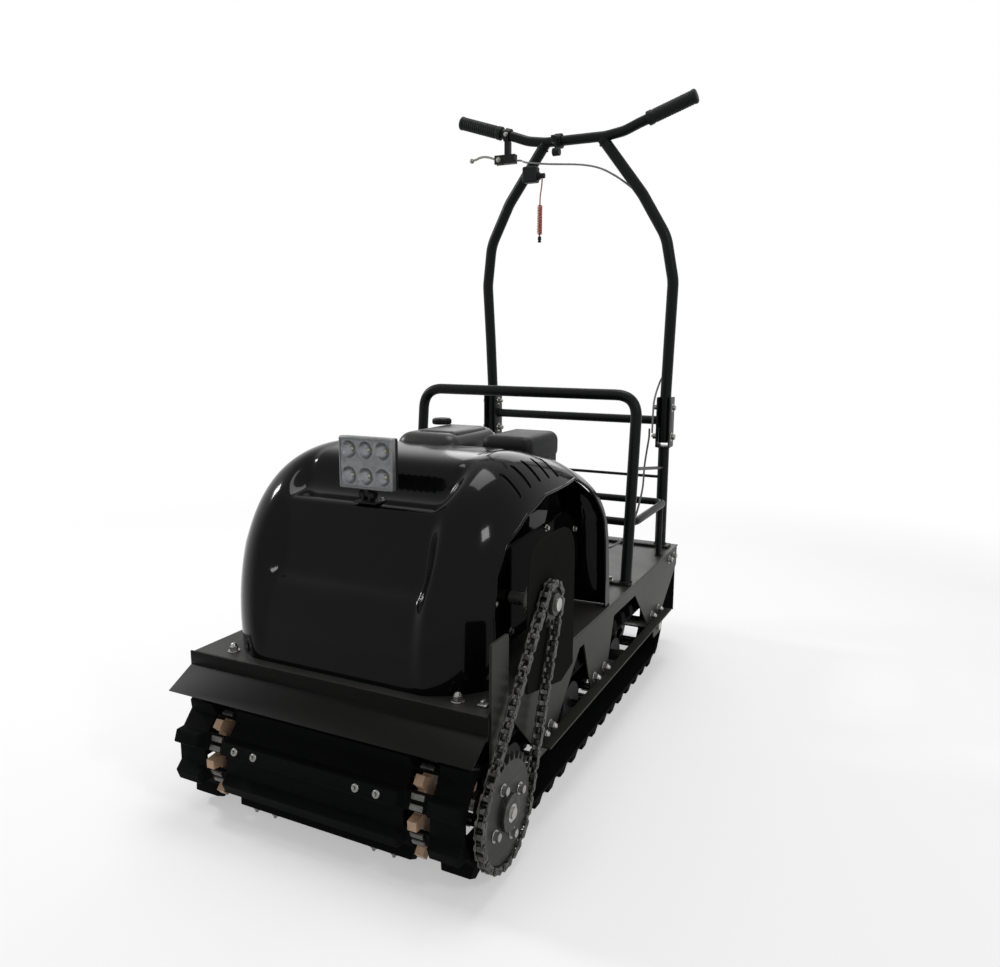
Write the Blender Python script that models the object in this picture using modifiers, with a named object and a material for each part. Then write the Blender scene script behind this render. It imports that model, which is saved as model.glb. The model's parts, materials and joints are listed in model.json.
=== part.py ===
"""Tracked snow tow vehicle with a folding handlebar column.

Metres, +Z up. The front faces -Y, the chain side is +X, and the ground is z = 0.
"""
import math

import bmesh
import bpy
from mathutils import Matrix, Vector

# Fits between pieces
SEAT = 0.0003
TURNING_FIT = 0.0006

# Overall
HALF_LENGTH = 0.5345
FRONT = -HALF_LENGTH
REAR = HALF_LENGTH
SHEET = 0.003

# Track belt and its drive
BELT_WIDTH = 0.500
BELT_THICK = 0.005
BELT_PITCH = 0.052
LUG_HEIGHT = 0.0175
LUG_TAPER = 0.004
WINDOW_X = BELT_WIDTH / 2 - 0.073
WINDOW_WIDTH = 0.040
DRIVE_TEETH = 9
DRIVE_TOOTH_HEIGHT = 0.017
DRIVE_TOOTH_WIDTH = 0.018
DRIVE_SPROCKET_WIDTH = 0.030
DRIVE_SHAFT_RADIUS = 0.0125

PITCH_RADIUS = DRIVE_TEETH * BELT_PITCH / (2 * math.pi)
HALF_STEP = math.pi / DRIVE_TEETH / 2
BELT_OUTER_RADIUS = PITCH_RADIUS + BELT_THICK / 2
AXLE_Z = BELT_OUTER_RADIUS + LUG_HEIGHT
LUG_TIP = BELT_OUTER_RADIUS * math.cos(HALF_STEP) + LUG_HEIGHT
LUG_HALF = BELT_OUTER_RADIUS * math.sin(HALF_STEP) - LUG_TAPER
FRONT_REACH = LUG_TIP * math.cos(2 * HALF_STEP) + LUG_HALF * math.sin(2 * HALF_STEP)
REAR_ROOM = 0.0800
RUN_STEPS = int((REAR - FRONT - 2 * FRONT_REACH - REAR_ROOM) / (BELT_PITCH / 2))
BELT_PITCHES = DRIVE_TEETH + RUN_STEPS
LOOP_RUN = RUN_STEPS * BELT_PITCH / 2
DRIVE_Y = FRONT + FRONT_REACH
IDLER_Y = DRIVE_Y + LOOP_RUN
BELT_INNER_RADIUS = PITCH_RADIUS - BELT_THICK / 2
WHEEL_FIT_RADIUS = BELT_INNER_RADIUS * math.cos(HALF_STEP) - SEAT

# Side stack, from the belt edge outwards
FRAME_GAP = 0.0035
FRAME_IN = BELT_WIDTH / 2 + FRAME_GAP
FRAME_OUT = FRAME_IN + SHEET
UPRIGHT_THICK = 0.004

# Deck and frames
DECK_TOP = 0.240
DECK_FRONT = FRONT + 0.0605
LEG_BOTTOM = 0.1075
STRIP_BOTTOM = 0.212
RAIL_TOP = 0.1185
RAIL_SIZE = 0.020
RAIL_FRONT = FRONT + 0.2345
RAIL_REAR = REAR - 0.1195

# Roller chain
CHAIN_PITCH = 0.015875
CHAIN_LINKS = 58
WHEEL_TEETH = 30
PINION_TEETH = 12
CHAIN_LEAN = math.radians(31.5)
CHAIN_X = FRAME_OUT + 0.015
CHAIN_INNER_HALF = 0.0034
CHAIN_PLATE = 0.0019
ROLLER_LENGTH = 0.0078
CHAIN_HEIGHT = 0.0118
CHAIN_WAIST = 0.0086
TOOTH_HALF = 0.0028
WHEEL_RADIUS = CHAIN_PITCH * WHEEL_TEETH / (2 * math.pi)
PINION_RADIUS = CHAIN_PITCH * PINION_TEETH / (2 * math.pi)
JACKSHAFT_RADIUS = 0.010

# Bogies, idlers and the inner frame
BOGIE_RADIUS = 0.040
BOGIE_SHAFT_RADIUS = 0.0075
BOGIE_Z = AXLE_Z - BELT_INNER_RADIUS + BOGIE_RADIUS + SEAT
BOGIE_Y = (DRIVE_Y + 0.1536, (DRIVE_Y + IDLER_Y) / 2 + 0.0106, IDLER_Y - 0.1424)
BOGIE_X = BELT_WIDTH / 2 - 0.060
BEAM_X = BELT_WIDTH / 2 - 0.130
BEAM_THICK = 0.006
TUBE_Y = ((BOGIE_Y[0] + BOGIE_Y[1]) / 2 - 0.030, (BOGIE_Y[1] + BOGIE_Y[2]) / 2 + 0.015)
INNER_TUBE_RADIUS = 0.011
IDLER_SHAFT_RADIUS = 0.010
IDLER_X = BELT_WIDTH / 2 - 0.100
IDLER_WIDTH = 0.034

# Hood
HOOD_HALF = FRAME_IN - 0.0005
HOOD_WALL = 0.003
HOOD_BASE_Z = DECK_TOP + SEAT
LEDGE_Z = 0.484
LOBE_IN = HOOD_HALF - 0.125
LOBE_OUT = HOOD_HALF - 0.101
ENGINE_Y = FRONT + 0.4645
ENGINE_BASE_Z = DECK_TOP + SEAT
TANK_LOW = 0.490
TANK_TOP = 0.562
COVER_X = FRAME_IN - 0.076
COVER_HALF = 0.025
COVER_RADIUS = 0.078

# Rack
HOOP_RADIUS = 0.011
HOOP_X = FRAME_IN - 0.0105
HOOP_TOP = 0.614
HOOP_FOOT_Y = FRONT + 0.6995
HOOP_TOP_Y = HOOP_FOOT_Y + 0.040
HOOP_CORNER = 0.045
RIM_RADIUS = 0.008
RIM_X = FRAME_IN - 0.0075
RIM_Z = 0.360
RIM_REAR = REAR - 0.1025
ROD_RADIUS = 0.0035
ROD_FRONT_Z = 0.468

# Handlebar column
TUBE_RADIUS = 0.0125
POST_X = FRAME_IN - 0.0315
POST_Y = REAR - 0.0345
BRACKET_TOP = 0.592
BRACKET_BOTTOM = BRACKET_TOP - 0.1155
FOLD_Z = BRACKET_BOTTOM + 0.0245
CLAMP_Z = BRACKET_TOP - 0.024
CROSS_Z = BRACKET_TOP - 0.054
BRACKET_WALL = 0.003
ROD_REAR_Z = BRACKET_BOTTOM - 0.0485
CROSS_ROD_Z = BRACKET_BOTTOM - 0.0705
BOLT_RADIUS = 0.004
BAR_HALF = 0.2865
BAR_RADIUS = 0.011
GRIP_RADIUS = 0.0155
GRIP_LENGTH = 0.115

# Brake, cables and stop switch
LEVER_HALF = 0.004
LEVER_PIN_RADIUS = 0.003
CABLE_RADIUS = 0.0028
SWITCH_Y = POST_Y - 0.050
KEY_Z = 1.090
CORD_RADIUS = 0.0012
COIL_RADIUS = 0.0048
COIL_TURNS = 16
COIL_PITCH = 0.0042
COIL_STEPS = 8

FINISHES = {
    "powder_black": ((0.018, 0.018, 0.019), 0.42, 0.0),
    "olive_steel": ((0.105, 0.108, 0.095), 0.45, 0.3),
    "gloss_black": ((0.010, 0.011, 0.012), 0.12, 0.0),
    "rubber": ((0.020, 0.020, 0.021), 0.75, 0.0),
    "bare_steel": ((0.42, 0.42, 0.40), 0.35, 0.9),
    "zinc_steel": ((0.55, 0.55, 0.53), 0.30, 0.9),
    "grey_plate": ((0.20, 0.21, 0.20), 0.40, 0.5),
    "sprocket_polymer": ((0.72, 0.45, 0.30), 0.50, 0.0),
    "engine_alloy": ((0.28, 0.28, 0.28), 0.45, 0.8),
    "matt_black": ((0.030, 0.030, 0.031), 0.60, 0.0),
    "lamp_silver": ((0.55, 0.56, 0.57), 0.25, 0.7),
    "lanyard_red": ((0.55, 0.10, 0.06), 0.45, 0.0),
    "silver_cable": ((0.50, 0.51, 0.52), 0.35, 0.6),
}

for old in list(bpy.data.objects):
    bpy.data.objects.remove(old, do_unlink=True)


def new_collection(name):
    """Return a new collection in the scene."""
    collection = bpy.data.collections.new(name)
    bpy.context.scene.collection.children.link(collection)
    return collection


PARTS = new_collection("snow_tow_vehicle")
CUTTERS = new_collection("cutters")


# Building blocks

def place(name, data, finish, matrix=None):
    """Add an object to the model with its own material."""
    obj = bpy.data.objects.new(name, data)
    PARTS.objects.link(obj)
    if matrix is not None:
        obj.matrix_world = matrix
    colour, roughness, metallic = FINISHES[finish]
    material = bpy.data.materials.new(name + "_finish")
    material.use_nodes = True
    shader = material.node_tree.nodes["Principled BSDF"]
    shader.inputs["Base Color"].default_value = (*colour, 1.0)
    shader.inputs["Roughness"].default_value = roughness
    shader.inputs["Metallic"].default_value = metallic
    data.materials.append(material)
    return obj


def mesh_object(name, bm, finish, matrix=None, smooth=False):
    """Turn a bmesh into a placed object."""
    mesh = bpy.data.meshes.new(name)
    bmesh.ops.recalc_face_normals(bm, faces=bm.faces)
    bm.to_mesh(mesh)
    bm.free()
    if smooth:
        mesh.shade_smooth()
        mesh.set_sharp_from_angle(angle=math.radians(35))
    return place(name, mesh, finish, matrix)


def facing_x(x):
    """Frame of a plate across X: its own x runs along Y and its own y along Z."""
    return Matrix(((0, 0, 1, x), (1, 0, 0, 0), (0, 1, 0, 0), (0, 0, 0, 1)))


def facing_y(y):
    """Frame of a plate across Y: its own x runs along X and its own y along Z."""
    return Matrix(((1, 0, 0, 0), (0, 0, -1, y), (0, 1, 0, 0), (0, 0, 0, 1)))


def facing_z(z):
    """Frame of a plate across Z."""
    return Matrix.Translation((0, 0, z))


def flat(name, outlines, thickness, finish, matrix):
    """A plate with a closed edge outline and any hole outlines."""
    curve = bpy.data.curves.new(name, "CURVE")
    curve.dimensions = "2D"
    curve.fill_mode = "BOTH"
    curve.extrude = thickness / 2
    for outline in outlines:
        spline = curve.splines.new("POLY")
        spline.points.add(len(outline) - 1)
        for point, (a, b) in zip(spline.points, outline):
            point.co = (a, b, 0, 1)
        spline.use_cyclic_u = True
    return place(name, curve, finish, matrix)


def circle(a, b, radius, count=24):
    """Points of a circle in a plate's own plane."""
    return [
        (a + radius * math.cos(2 * math.pi * k / count), b + radius * math.sin(2 * math.pi * k / count))
        for k in range(count)
    ]


def rounded(points, radius, steps=4, closed=False):
    """Replace the corners of a path, flat or in space, by arcs of a radius."""
    path = [Vector(p) for p in points]
    count = len(path)
    result = []
    for k, corner in enumerate(path):
        if not closed and k in (0, count - 1):
            result.append(corner)
            continue
        before = path[k - 1] - corner
        after = path[(k + 1) % count] - corner
        angle = before.angle(after)
        reach = radius / math.tan(angle / 2)
        reach = min(reach, 0.49 * before.length, 0.49 * after.length)
        start = corner + before.normalized() * reach
        end = corner + after.normalized() * reach
        for step in range(steps + 1):
            t = step / steps
            result.append(start.lerp(corner, t).lerp(corner.lerp(end, t), t))
    return result


def tube(name, points, radius, finish, closed=False, resolution=2):
    """A round tube along points, closed at its ends."""
    curve = bpy.data.curves.new(name, "CURVE")
    curve.dimensions = "3D"
    curve.bevel_depth = radius
    curve.bevel_resolution = resolution
    curve.use_fill_caps = True
    spline = curve.splines.new("POLY")
    spline.points.add(len(points) - 1)
    for point, position in zip(spline.points, points):
        point.co = (*position, 1)
    spline.use_cyclic_u = closed
    return place(name, curve, finish)


def box(name, low, high, finish, bevel=0.0, segments=1):
    """A block between two corners, with its edges rounded."""
    bm = bmesh.new()
    bmesh.ops.create_cube(bm, size=1.0)
    size = [b - a for a, b in zip(low, high)]
    centre = [(a + b) / 2 for a, b in zip(low, high)]
    bmesh.ops.scale(bm, vec=size, verts=bm.verts)
    obj = mesh_object(name, bm, finish, Matrix.Translation(centre))
    if bevel:
        modifier = obj.modifiers.new("edges", "BEVEL")
        modifier.width = bevel
        modifier.segments = segments
    return obj


TURN_X = Matrix.Rotation(math.radians(90), 4, "Y")
TURN_Y = Matrix.Rotation(math.radians(-90), 4, "X")
TURN_Z = Matrix.Identity(4)


def turned(name, profile, finish, centre, turn=TURN_X, steps=24, ring=False):
    """A turned piece: (radius, height) points run down its outer side."""
    bm = bmesh.new()
    verts = [bm.verts.new((radius, 0, height)) for radius, height in profile]
    for a, b in zip(verts, verts[1:]):
        bm.edges.new((a, b))
    if ring:
        bm.edges.new((verts[-1], verts[0]))
    mesh = bpy.data.meshes.new(name)
    bm.to_mesh(mesh)
    bm.free()
    obj = place(name, mesh, finish, Matrix.Translation(centre) @ turn)
    screw = obj.modifiers.new("turn", "SCREW")
    screw.steps = steps
    screw.render_steps = steps
    screw.use_merge_vertices = True
    screw.merge_threshold = 0.00001
    return obj


def rod(name, low, high, radius, finish, axis="X", sides=16):
    """A plain round bar between two places on an axis: low and high are its end centres."""
    turns = {"X": TURN_X, "Y": TURN_Y, "Z": TURN_Z}
    middle = [(a + b) / 2 for a, b in zip(low, high)]
    half = math.dist(low, high) / 2
    profile = [(0, half), (radius, half), (radius, -half), (0, -half)]
    return turned(name, profile, finish, middle, turns[axis], sides)


def as_mesh(obj):
    """Replace a curve or a modified object by its welded mesh."""
    bpy.context.view_layer.update()
    graph = bpy.context.evaluated_depsgraph_get()
    mesh = bpy.data.meshes.new_from_object(obj.evaluated_get(graph))
    bm = bmesh.new()
    bm.from_mesh(mesh)
    bmesh.ops.remove_doubles(bm, verts=bm.verts, dist=0.00001)
    bmesh.ops.recalc_face_normals(bm, faces=bm.faces)
    bm.to_mesh(mesh)
    bm.free()
    name = obj.name
    matrix = obj.matrix_world.copy()
    bpy.data.objects.remove(obj, do_unlink=True)
    solid = bpy.data.objects.new(name, mesh)
    PARTS.objects.link(solid)
    solid.matrix_world = matrix
    return solid


def combine(base, tool, operation):
    """Cut a tool out of a piece, or join it on, and put the tool with the cutters."""
    if tool.type == "CURVE":
        tool = as_mesh(tool)
    PARTS.objects.unlink(tool)
    CUTTERS.objects.link(tool)
    tool.hide_render = True
    tool.display_type = "WIRE"
    modifier = base.modifiers.new(tool.name, "BOOLEAN")
    modifier.operation = operation
    modifier.object = tool


def join(base, *tools):
    """Weld pieces on to a base."""
    for tool in tools:
        combine(base, tool, "UNION")


def cut(base, *tools):
    """Cut pieces out of a base."""
    for tool in tools:
        combine(base, tool, "DIFFERENCE")


def both_sides(build):
    """Build a left (-1) and a right (+1) piece."""
    for name, side in (("left", -1), ("right", 1)):
        build(name, side)


def bend_x(points, side):
    """Mirror points in space to a side."""
    return [(side * x, y, z) for x, y, z in points]


# Track belt

def loop_place(travel):
    """Place (y, z) and outward direction on the belt's middle line at a travel."""
    arc = math.pi * PITCH_RADIUS
    if travel < LOOP_RUN:
        return (DRIVE_Y + travel, AXLE_Z - PITCH_RADIUS), -math.pi / 2
    travel -= LOOP_RUN
    if travel < arc:
        angle = -math.pi / 2 + travel / PITCH_RADIUS
        centre = IDLER_Y
    else:
        travel -= arc
        if travel < LOOP_RUN:
            return (IDLER_Y - travel, AXLE_Z + PITCH_RADIUS), math.pi / 2
        angle = math.pi / 2 + (travel - LOOP_RUN) / PITCH_RADIUS
        centre = DRIVE_Y
    place_y = centre + PITCH_RADIUS * math.cos(angle)
    return (place_y, AXLE_Z + PITCH_RADIUS * math.sin(angle)), angle


def build_track_belt():
    """Endless rubber belt: half-pitch cells, windows in the odd ones, lugs on the even ones."""
    inner = WINDOW_X - WINDOW_WIDTH / 2
    outer = WINDOW_X + WINDOW_WIDTH / 2
    half = BELT_WIDTH / 2
    columns = (-half, -outer, -inner, inner, outer, half)
    window_columns = (1, 3)
    rings = 2 * BELT_PITCHES
    bm = bmesh.new()
    rows = []
    for k in range(rings):
        (y, z), angle = loop_place(k * BELT_PITCH / 2 + 1e-9)
        inward = BELT_THICK / 2
        y -= inward * math.cos(angle)
        z -= inward * math.sin(angle)
        rows.append([bm.verts.new((x, y, z)) for x in columns])
    cells = {}
    for k in range(rings):
        row, following = rows[k], rows[(k + 1) % rings]
        for c in range(len(columns) - 1):
            if k % 2 and c in window_columns:
                continue
            face = bm.faces.new((row[c], row[c + 1], following[c + 1], following[c]))
            cells[face] = (k, c)
    bm.normal_update()
    inside = list(bm.faces)
    outward = {}
    for k in range(rings):
        angle = loop_place(k * BELT_PITCH / 2 + 1e-9)[1]
        for vert in rows[k]:
            outward[vert] = Vector((0, math.cos(angle), math.sin(angle))) * BELT_THICK
    lug_centres = [
        (face.calc_center_median(), key) for face, key in cells.items()
        if key[0] % 2 == 0 and key[1] not in window_columns
    ]
    lug_keys = {}
    for centre, (k, _) in lug_centres:
        pair = [loop_place(((k + step) % rings) * BELT_PITCH / 2 + 1e-9)[1] for step in (0, 1)]
        middle = Vector((0, sum(map(math.cos, pair)) / 2, sum(map(math.sin, pair)) / 2))
        lug_keys[tuple(round(v, 4) for v in centre + middle * BELT_THICK)] = True
    made = bmesh.ops.extrude_face_region(bm, geom=inside, use_keep_orig=True)
    base_of = {tuple(round(v, 6) for v in vert.co): shift for vert, shift in outward.items()}
    for vert in (item for item in made["geom"] if isinstance(item, bmesh.types.BMVert)):
        vert.co += base_of[tuple(round(v, 6) for v in vert.co)]
    top = [item for item in made["geom"] if isinstance(item, bmesh.types.BMFace)]
    bmesh.ops.recalc_face_normals(bm, faces=bm.faces)
    lugs = [
        face for face in top
        if tuple(round(v, 4) for v in face.calc_center_median()) in lug_keys
    ]
    bmesh.ops.inset_individual(
        bm, faces=lugs, thickness=LUG_TAPER, depth=LUG_HEIGHT, use_even_offset=True)
    mesh_object("track_belt", bm, "rubber")


def build_drive_axle():
    """Drive shaft, its two toothed polymer sprockets and their place in the belt windows."""
    half = FRAME_OUT + UPRIGHT_THICK + 0.004
    end = CHAIN_X + 0.0135
    step = DRIVE_SHAFT_RADIUS - 0.0045
    profile = [(0, end), (step, end), (step, CHAIN_X + 0.0105), (DRIVE_SHAFT_RADIUS, CHAIN_X + 0.0105),
               (DRIVE_SHAFT_RADIUS, -half), (0, -half)]
    turned("drive_axle", profile, "bare_steel", (0, DRIVE_Y, AXLE_Z), steps=24)
    rim = WHEEL_FIT_RADIUS
    outline = []
    for k in range(DRIVE_TEETH):
        middle = math.radians(180 + 360 / DRIVE_TEETH * k)
        root = DRIVE_TOOTH_WIDTH / 2 / rim
        tip = 0.6 * DRIVE_TOOTH_WIDTH / 2 / rim
        rise = rim + DRIVE_TOOTH_HEIGHT
        outline += [
            (rim * math.cos(middle - root), rim * math.sin(middle - root)),
            (rise * math.cos(middle - tip), rise * math.sin(middle - tip)),
            (rise * math.cos(middle + tip), rise * math.sin(middle + tip)),
            (rim * math.cos(middle + root), rim * math.sin(middle + root)),
            (rim * math.cos(middle + math.pi / DRIVE_TEETH), rim * math.sin(middle + math.pi / DRIVE_TEETH)),
        ]
    outline = [(DRIVE_Y + a, AXLE_Z + b) for a, b in outline]
    bore = circle(DRIVE_Y, AXLE_Z, DRIVE_SHAFT_RADIUS + TURNING_FIT)
    lightening = [
        circle(DRIVE_Y + 0.044 * math.cos(math.radians(60 * k)), AXLE_Z + 0.044 * math.sin(math.radians(60 * k)),
               0.011, 6)
        for k in range(6)
    ]

    def sprocket(name, side):
        flat("drive_sprocket_" + name, [outline, bore, *lightening], DRIVE_SPROCKET_WIDTH,
             "sprocket_polymer", facing_x(side * WINDOW_X))

    both_sides(sprocket)


# Chain drive

def chain_bend(distance):
    """Angle by which the chain's straight runs lean in towards the pinion."""
    return math.asin((WHEEL_RADIUS - PINION_RADIUS) / distance)


def chain_length(distance):
    """Length of the chain's pitch line for a distance between the two axles."""
    lean = chain_bend(distance)
    arcs = WHEEL_RADIUS * (math.pi + 2 * lean) + PINION_RADIUS * (math.pi - 2 * lean)
    return 2 * distance * math.cos(lean) + arcs


def chain_distance():
    """Distance between the axles that takes the whole number of links."""
    low, high = WHEEL_RADIUS + PINION_RADIUS, 1.0
    for _ in range(60):
        middle = (low + high) / 2
        if chain_length(middle) < CHAIN_LINKS * CHAIN_PITCH:
            low = middle
        else:
            high = middle
    return low


CHAIN_DISTANCE = chain_distance()
JACK_Y = DRIVE_Y + CHAIN_DISTANCE * math.sin(CHAIN_LEAN)
JACK_Z = AXLE_Z + CHAIN_DISTANCE * math.cos(CHAIN_LEAN)
COVER_REAR_Z = JACK_Z + 0.010
COVER_REAR_Y = JACK_Y + 0.215 + COVER_RADIUS
CHAIN_INWARD = chain_bend(CHAIN_DISTANCE)
CHAIN_RISE = math.pi / 2 - CHAIN_LEAN
CHAIN_FRONT = CHAIN_RISE + math.pi / 2 - CHAIN_INWARD
CHAIN_BACK = CHAIN_RISE - math.pi / 2 + CHAIN_INWARD
CHAIN_STRAIGHT = CHAIN_DISTANCE * math.cos(CHAIN_INWARD)


def chain_place(travel):
    """Place (y, z) and outward angle on the chain's pitch line, from the wheel's front tangent."""
    travel %= CHAIN_LINKS * CHAIN_PITCH
    small_arc = PINION_RADIUS * (math.pi - 2 * CHAIN_INWARD)
    if travel < CHAIN_STRAIGHT:
        share = travel / CHAIN_STRAIGHT
        start = (DRIVE_Y + WHEEL_RADIUS * math.cos(CHAIN_FRONT), AXLE_Z + WHEEL_RADIUS * math.sin(CHAIN_FRONT))
        end = (JACK_Y + PINION_RADIUS * math.cos(CHAIN_FRONT), JACK_Z + PINION_RADIUS * math.sin(CHAIN_FRONT))
        return [a + (b - a) * share for a, b in zip(start, end)], CHAIN_FRONT
    travel -= CHAIN_STRAIGHT
    if travel < small_arc:
        angle = CHAIN_FRONT - travel / PINION_RADIUS
        return [JACK_Y + PINION_RADIUS * math.cos(angle), JACK_Z + PINION_RADIUS * math.sin(angle)], angle
    travel -= small_arc
    if travel < CHAIN_STRAIGHT:
        share = travel / CHAIN_STRAIGHT
        start = (JACK_Y + PINION_RADIUS * math.cos(CHAIN_BACK), JACK_Z + PINION_RADIUS * math.sin(CHAIN_BACK))
        end = (DRIVE_Y + WHEEL_RADIUS * math.cos(CHAIN_BACK), AXLE_Z + WHEEL_RADIUS * math.sin(CHAIN_BACK))
        return [a + (b - a) * share for a, b in zip(start, end)], CHAIN_BACK
    angle = CHAIN_BACK - (travel - CHAIN_STRAIGHT) / WHEEL_RADIUS
    return [DRIVE_Y + WHEEL_RADIUS * math.cos(angle), AXLE_Z + WHEEL_RADIUS * math.sin(angle)], angle


def build_drive_chain():
    """Roller chain: two rows of link plates joined by a roller at every pin."""
    bm = bmesh.new()
    rings = []
    for k in range(2 * CHAIN_LINKS):
        pin = (k // 2) * CHAIN_PITCH
        travel = pin + (ROLLER_LENGTH / 2 if k % 2 else -ROLLER_LENGTH / 2)
        (y, z), angle = chain_place(travel)
        normal = Vector((0, math.cos(angle), math.sin(angle)))
        middle = Vector((CHAIN_INNER_HALF, y, z))
        half = normal * CHAIN_HEIGHT / 2
        rings.append((bm.verts.new(middle - half), bm.verts.new(middle + half)))
    faces = []
    for k, (low, high) in enumerate(rings):
        next_low, next_high = rings[(k + 1) % len(rings)]
        faces.append(bm.faces.new((low, high, next_high, next_low)))
    roller_faces = faces[0::2]
    outer_links = {k for k in range(CHAIN_LINKS) if k % 2}
    made = bmesh.ops.extrude_face_region(bm, geom=faces, use_keep_orig=True)
    verts = [item for item in made["geom"] if isinstance(item, bmesh.types.BMVert)]
    bmesh.ops.translate(bm, verts=verts, vec=(CHAIN_PLATE, 0, 0))
    top = [item for item in made["geom"] if isinstance(item, bmesh.types.BMFace)]
    spans = []
    for k in outer_links:
        y, z = chain_place((k + 0.5) * CHAIN_PITCH)[0]
        near = min(top, key=lambda face: (face.calc_center_median().yz - Vector((y, z))).length)
        spans.append(near)
    made = bmesh.ops.extrude_discrete_faces(bm, faces=spans)
    for face in made["faces"]:
        bmesh.ops.translate(bm, verts=face.verts, vec=(CHAIN_PLATE, 0, 0))
    made = bmesh.ops.extrude_discrete_faces(bm, faces=roller_faces)
    for face in made["faces"]:
        centre = face.calc_center_median()
        for vert in face.verts:
            vert.co = centre + (vert.co - centre) * (CHAIN_WAIST / CHAIN_HEIGHT)
            vert.co.x = 0.0
    bmesh.ops.delete(bm, geom=made["faces"], context="FACES_ONLY")
    bmesh.ops.recalc_face_normals(bm, faces=bm.faces)
    copy = bmesh.ops.duplicate(bm, geom=bm.verts[:] + bm.edges[:] + bm.faces[:])
    other = [item for item in copy["geom"] if isinstance(item, bmesh.types.BMVert)]
    bmesh.ops.scale(bm, vec=(-1, 1, 1), verts=other)
    bmesh.ops.remove_doubles(bm, verts=bm.verts, dist=0.00001)
    mesh_object("drive_chain", bm, "bare_steel", Matrix.Translation((CHAIN_X, 0, 0)))


def toothed(teeth, pitch_radius, centre, phase):
    """Outline of a chain sprocket whose tooth gaps lie at a phase."""
    step = 2 * math.pi / teeth
    root = pitch_radius - CHAIN_HEIGHT / 2 - SEAT
    tip = pitch_radius + 0.0046
    gap = (ROLLER_LENGTH / 2 + 0.0006) / pitch_radius
    outline = []
    for k in range(teeth):
        middle = phase + step * k
        for radius, turn in ((root, gap), (tip, step / 2), (root, step - gap)):
            angle = middle + turn
            outline.append((centre[0] + radius * math.cos(angle), centre[1] + radius * math.sin(angle)))
    return outline


def build_chain_wheels():
    """Chain wheel with its hub on the drive axle, and the pinion on the jackshaft."""
    outline = toothed(WHEEL_TEETH, WHEEL_RADIUS, (DRIVE_Y, AXLE_Z), CHAIN_FRONT)
    wheel = as_mesh(flat("chain_wheel", [outline, circle(DRIVE_Y, AXLE_Z, DRIVE_SHAFT_RADIUS + SEAT, 20)],
                         2 * TOOTH_HALF, "zinc_steel", facing_x(CHAIN_X)))
    bore = DRIVE_SHAFT_RADIUS + SEAT
    hub_out = 0.0100
    hub_in = FRAME_OUT + UPRIGHT_THICK + 0.0008 - CHAIN_X
    hub = turned("wheel_hub", [(0.026, hub_out), (0.026, hub_in), (bore, hub_in), (bore, hub_out)],
                 "zinc_steel", (CHAIN_X, DRIVE_Y, AXLE_Z), steps=20, ring=True)
    bolts = [
        rod("hub_bolt_%d" % k,
            (CHAIN_X, DRIVE_Y + 0.041 * math.cos(math.radians(90 * k + 20)),
             AXLE_Z + 0.041 * math.sin(math.radians(90 * k + 20))),
            (CHAIN_X + TOOTH_HALF + 0.004, DRIVE_Y + 0.041 * math.cos(math.radians(90 * k + 20)),
             AXLE_Z + 0.041 * math.sin(math.radians(90 * k + 20))),
            0.005, "zinc_steel", sides=6)
        for k in range(4)
    ]
    join(wheel, hub, *bolts)
    first = math.ceil(CHAIN_STRAIGHT / CHAIN_PITCH)
    phase = CHAIN_FRONT - (first * CHAIN_PITCH - CHAIN_STRAIGHT) / PINION_RADIUS
    outline = toothed(PINION_TEETH, PINION_RADIUS, (JACK_Y, JACK_Z), phase)
    pinion = as_mesh(flat("chain_pinion", [outline, circle(JACK_Y, JACK_Z, JACKSHAFT_RADIUS + SEAT, 16)],
                          2 * TOOTH_HALF, "zinc_steel", facing_x(CHAIN_X)))
    bore = JACKSHAFT_RADIUS + SEAT
    collar = turned("pinion_hub", [(0.017, 0.0085), (0.017, -0.0085), (bore, -0.0085), (bore, 0.0085)],
                    "zinc_steel", (CHAIN_X, JACK_Y, JACK_Z), steps=16, ring=True)
    join(pinion, collar)


def build_jackshaft():
    """Jackshaft, its bearing plate with the round top, and the bearing in the plate."""
    end = CHAIN_X + 0.0125
    start = COVER_X + COVER_HALF + 0.0025
    turned("jackshaft", [(0, end), (JACKSHAFT_RADIUS, end), (JACKSHAFT_RADIUS, start), (0, start)],
           "bare_steel", (0, JACK_Y, JACK_Z), steps=24)
    top, low = 0.440, 0.190
    front, rear = JACK_Y - 0.056, JACK_Y + 0.124
    edge = [(front, low + 0.030), (rear - 0.050, low), (rear, low + 0.012), (rear, top), (front, top)]
    corners = rounded([(*p, 0) for p in edge[:3]], 0.008, 2) + rounded(
        [(*p, 0) for p in edge[2:] + edge[:1]], 0.062, 6)[1:]
    outline = [(p.x, p.y) for p in corners]
    hole = circle(JACK_Y, JACK_Z, 0.021 + SEAT)
    middle = FRAME_OUT + SEAT + SHEET / 2
    flat("jackshaft_plate", [outline, hole], SHEET, "grey_plate", facing_x(middle))
    bore = JACKSHAFT_RADIUS + TURNING_FIT
    low_x = FRAME_OUT - 0.018
    ring = [(0.021, FRAME_OUT + SEAT + SHEET), (0.021, FRAME_OUT), (0.030, FRAME_OUT), (0.030, low_x),
            (bore, low_x), (bore, FRAME_OUT + SEAT + SHEET)]
    turned("jackshaft_bearing", ring, "zinc_steel", (0, JACK_Y, JACK_Z), ring=True)


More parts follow.
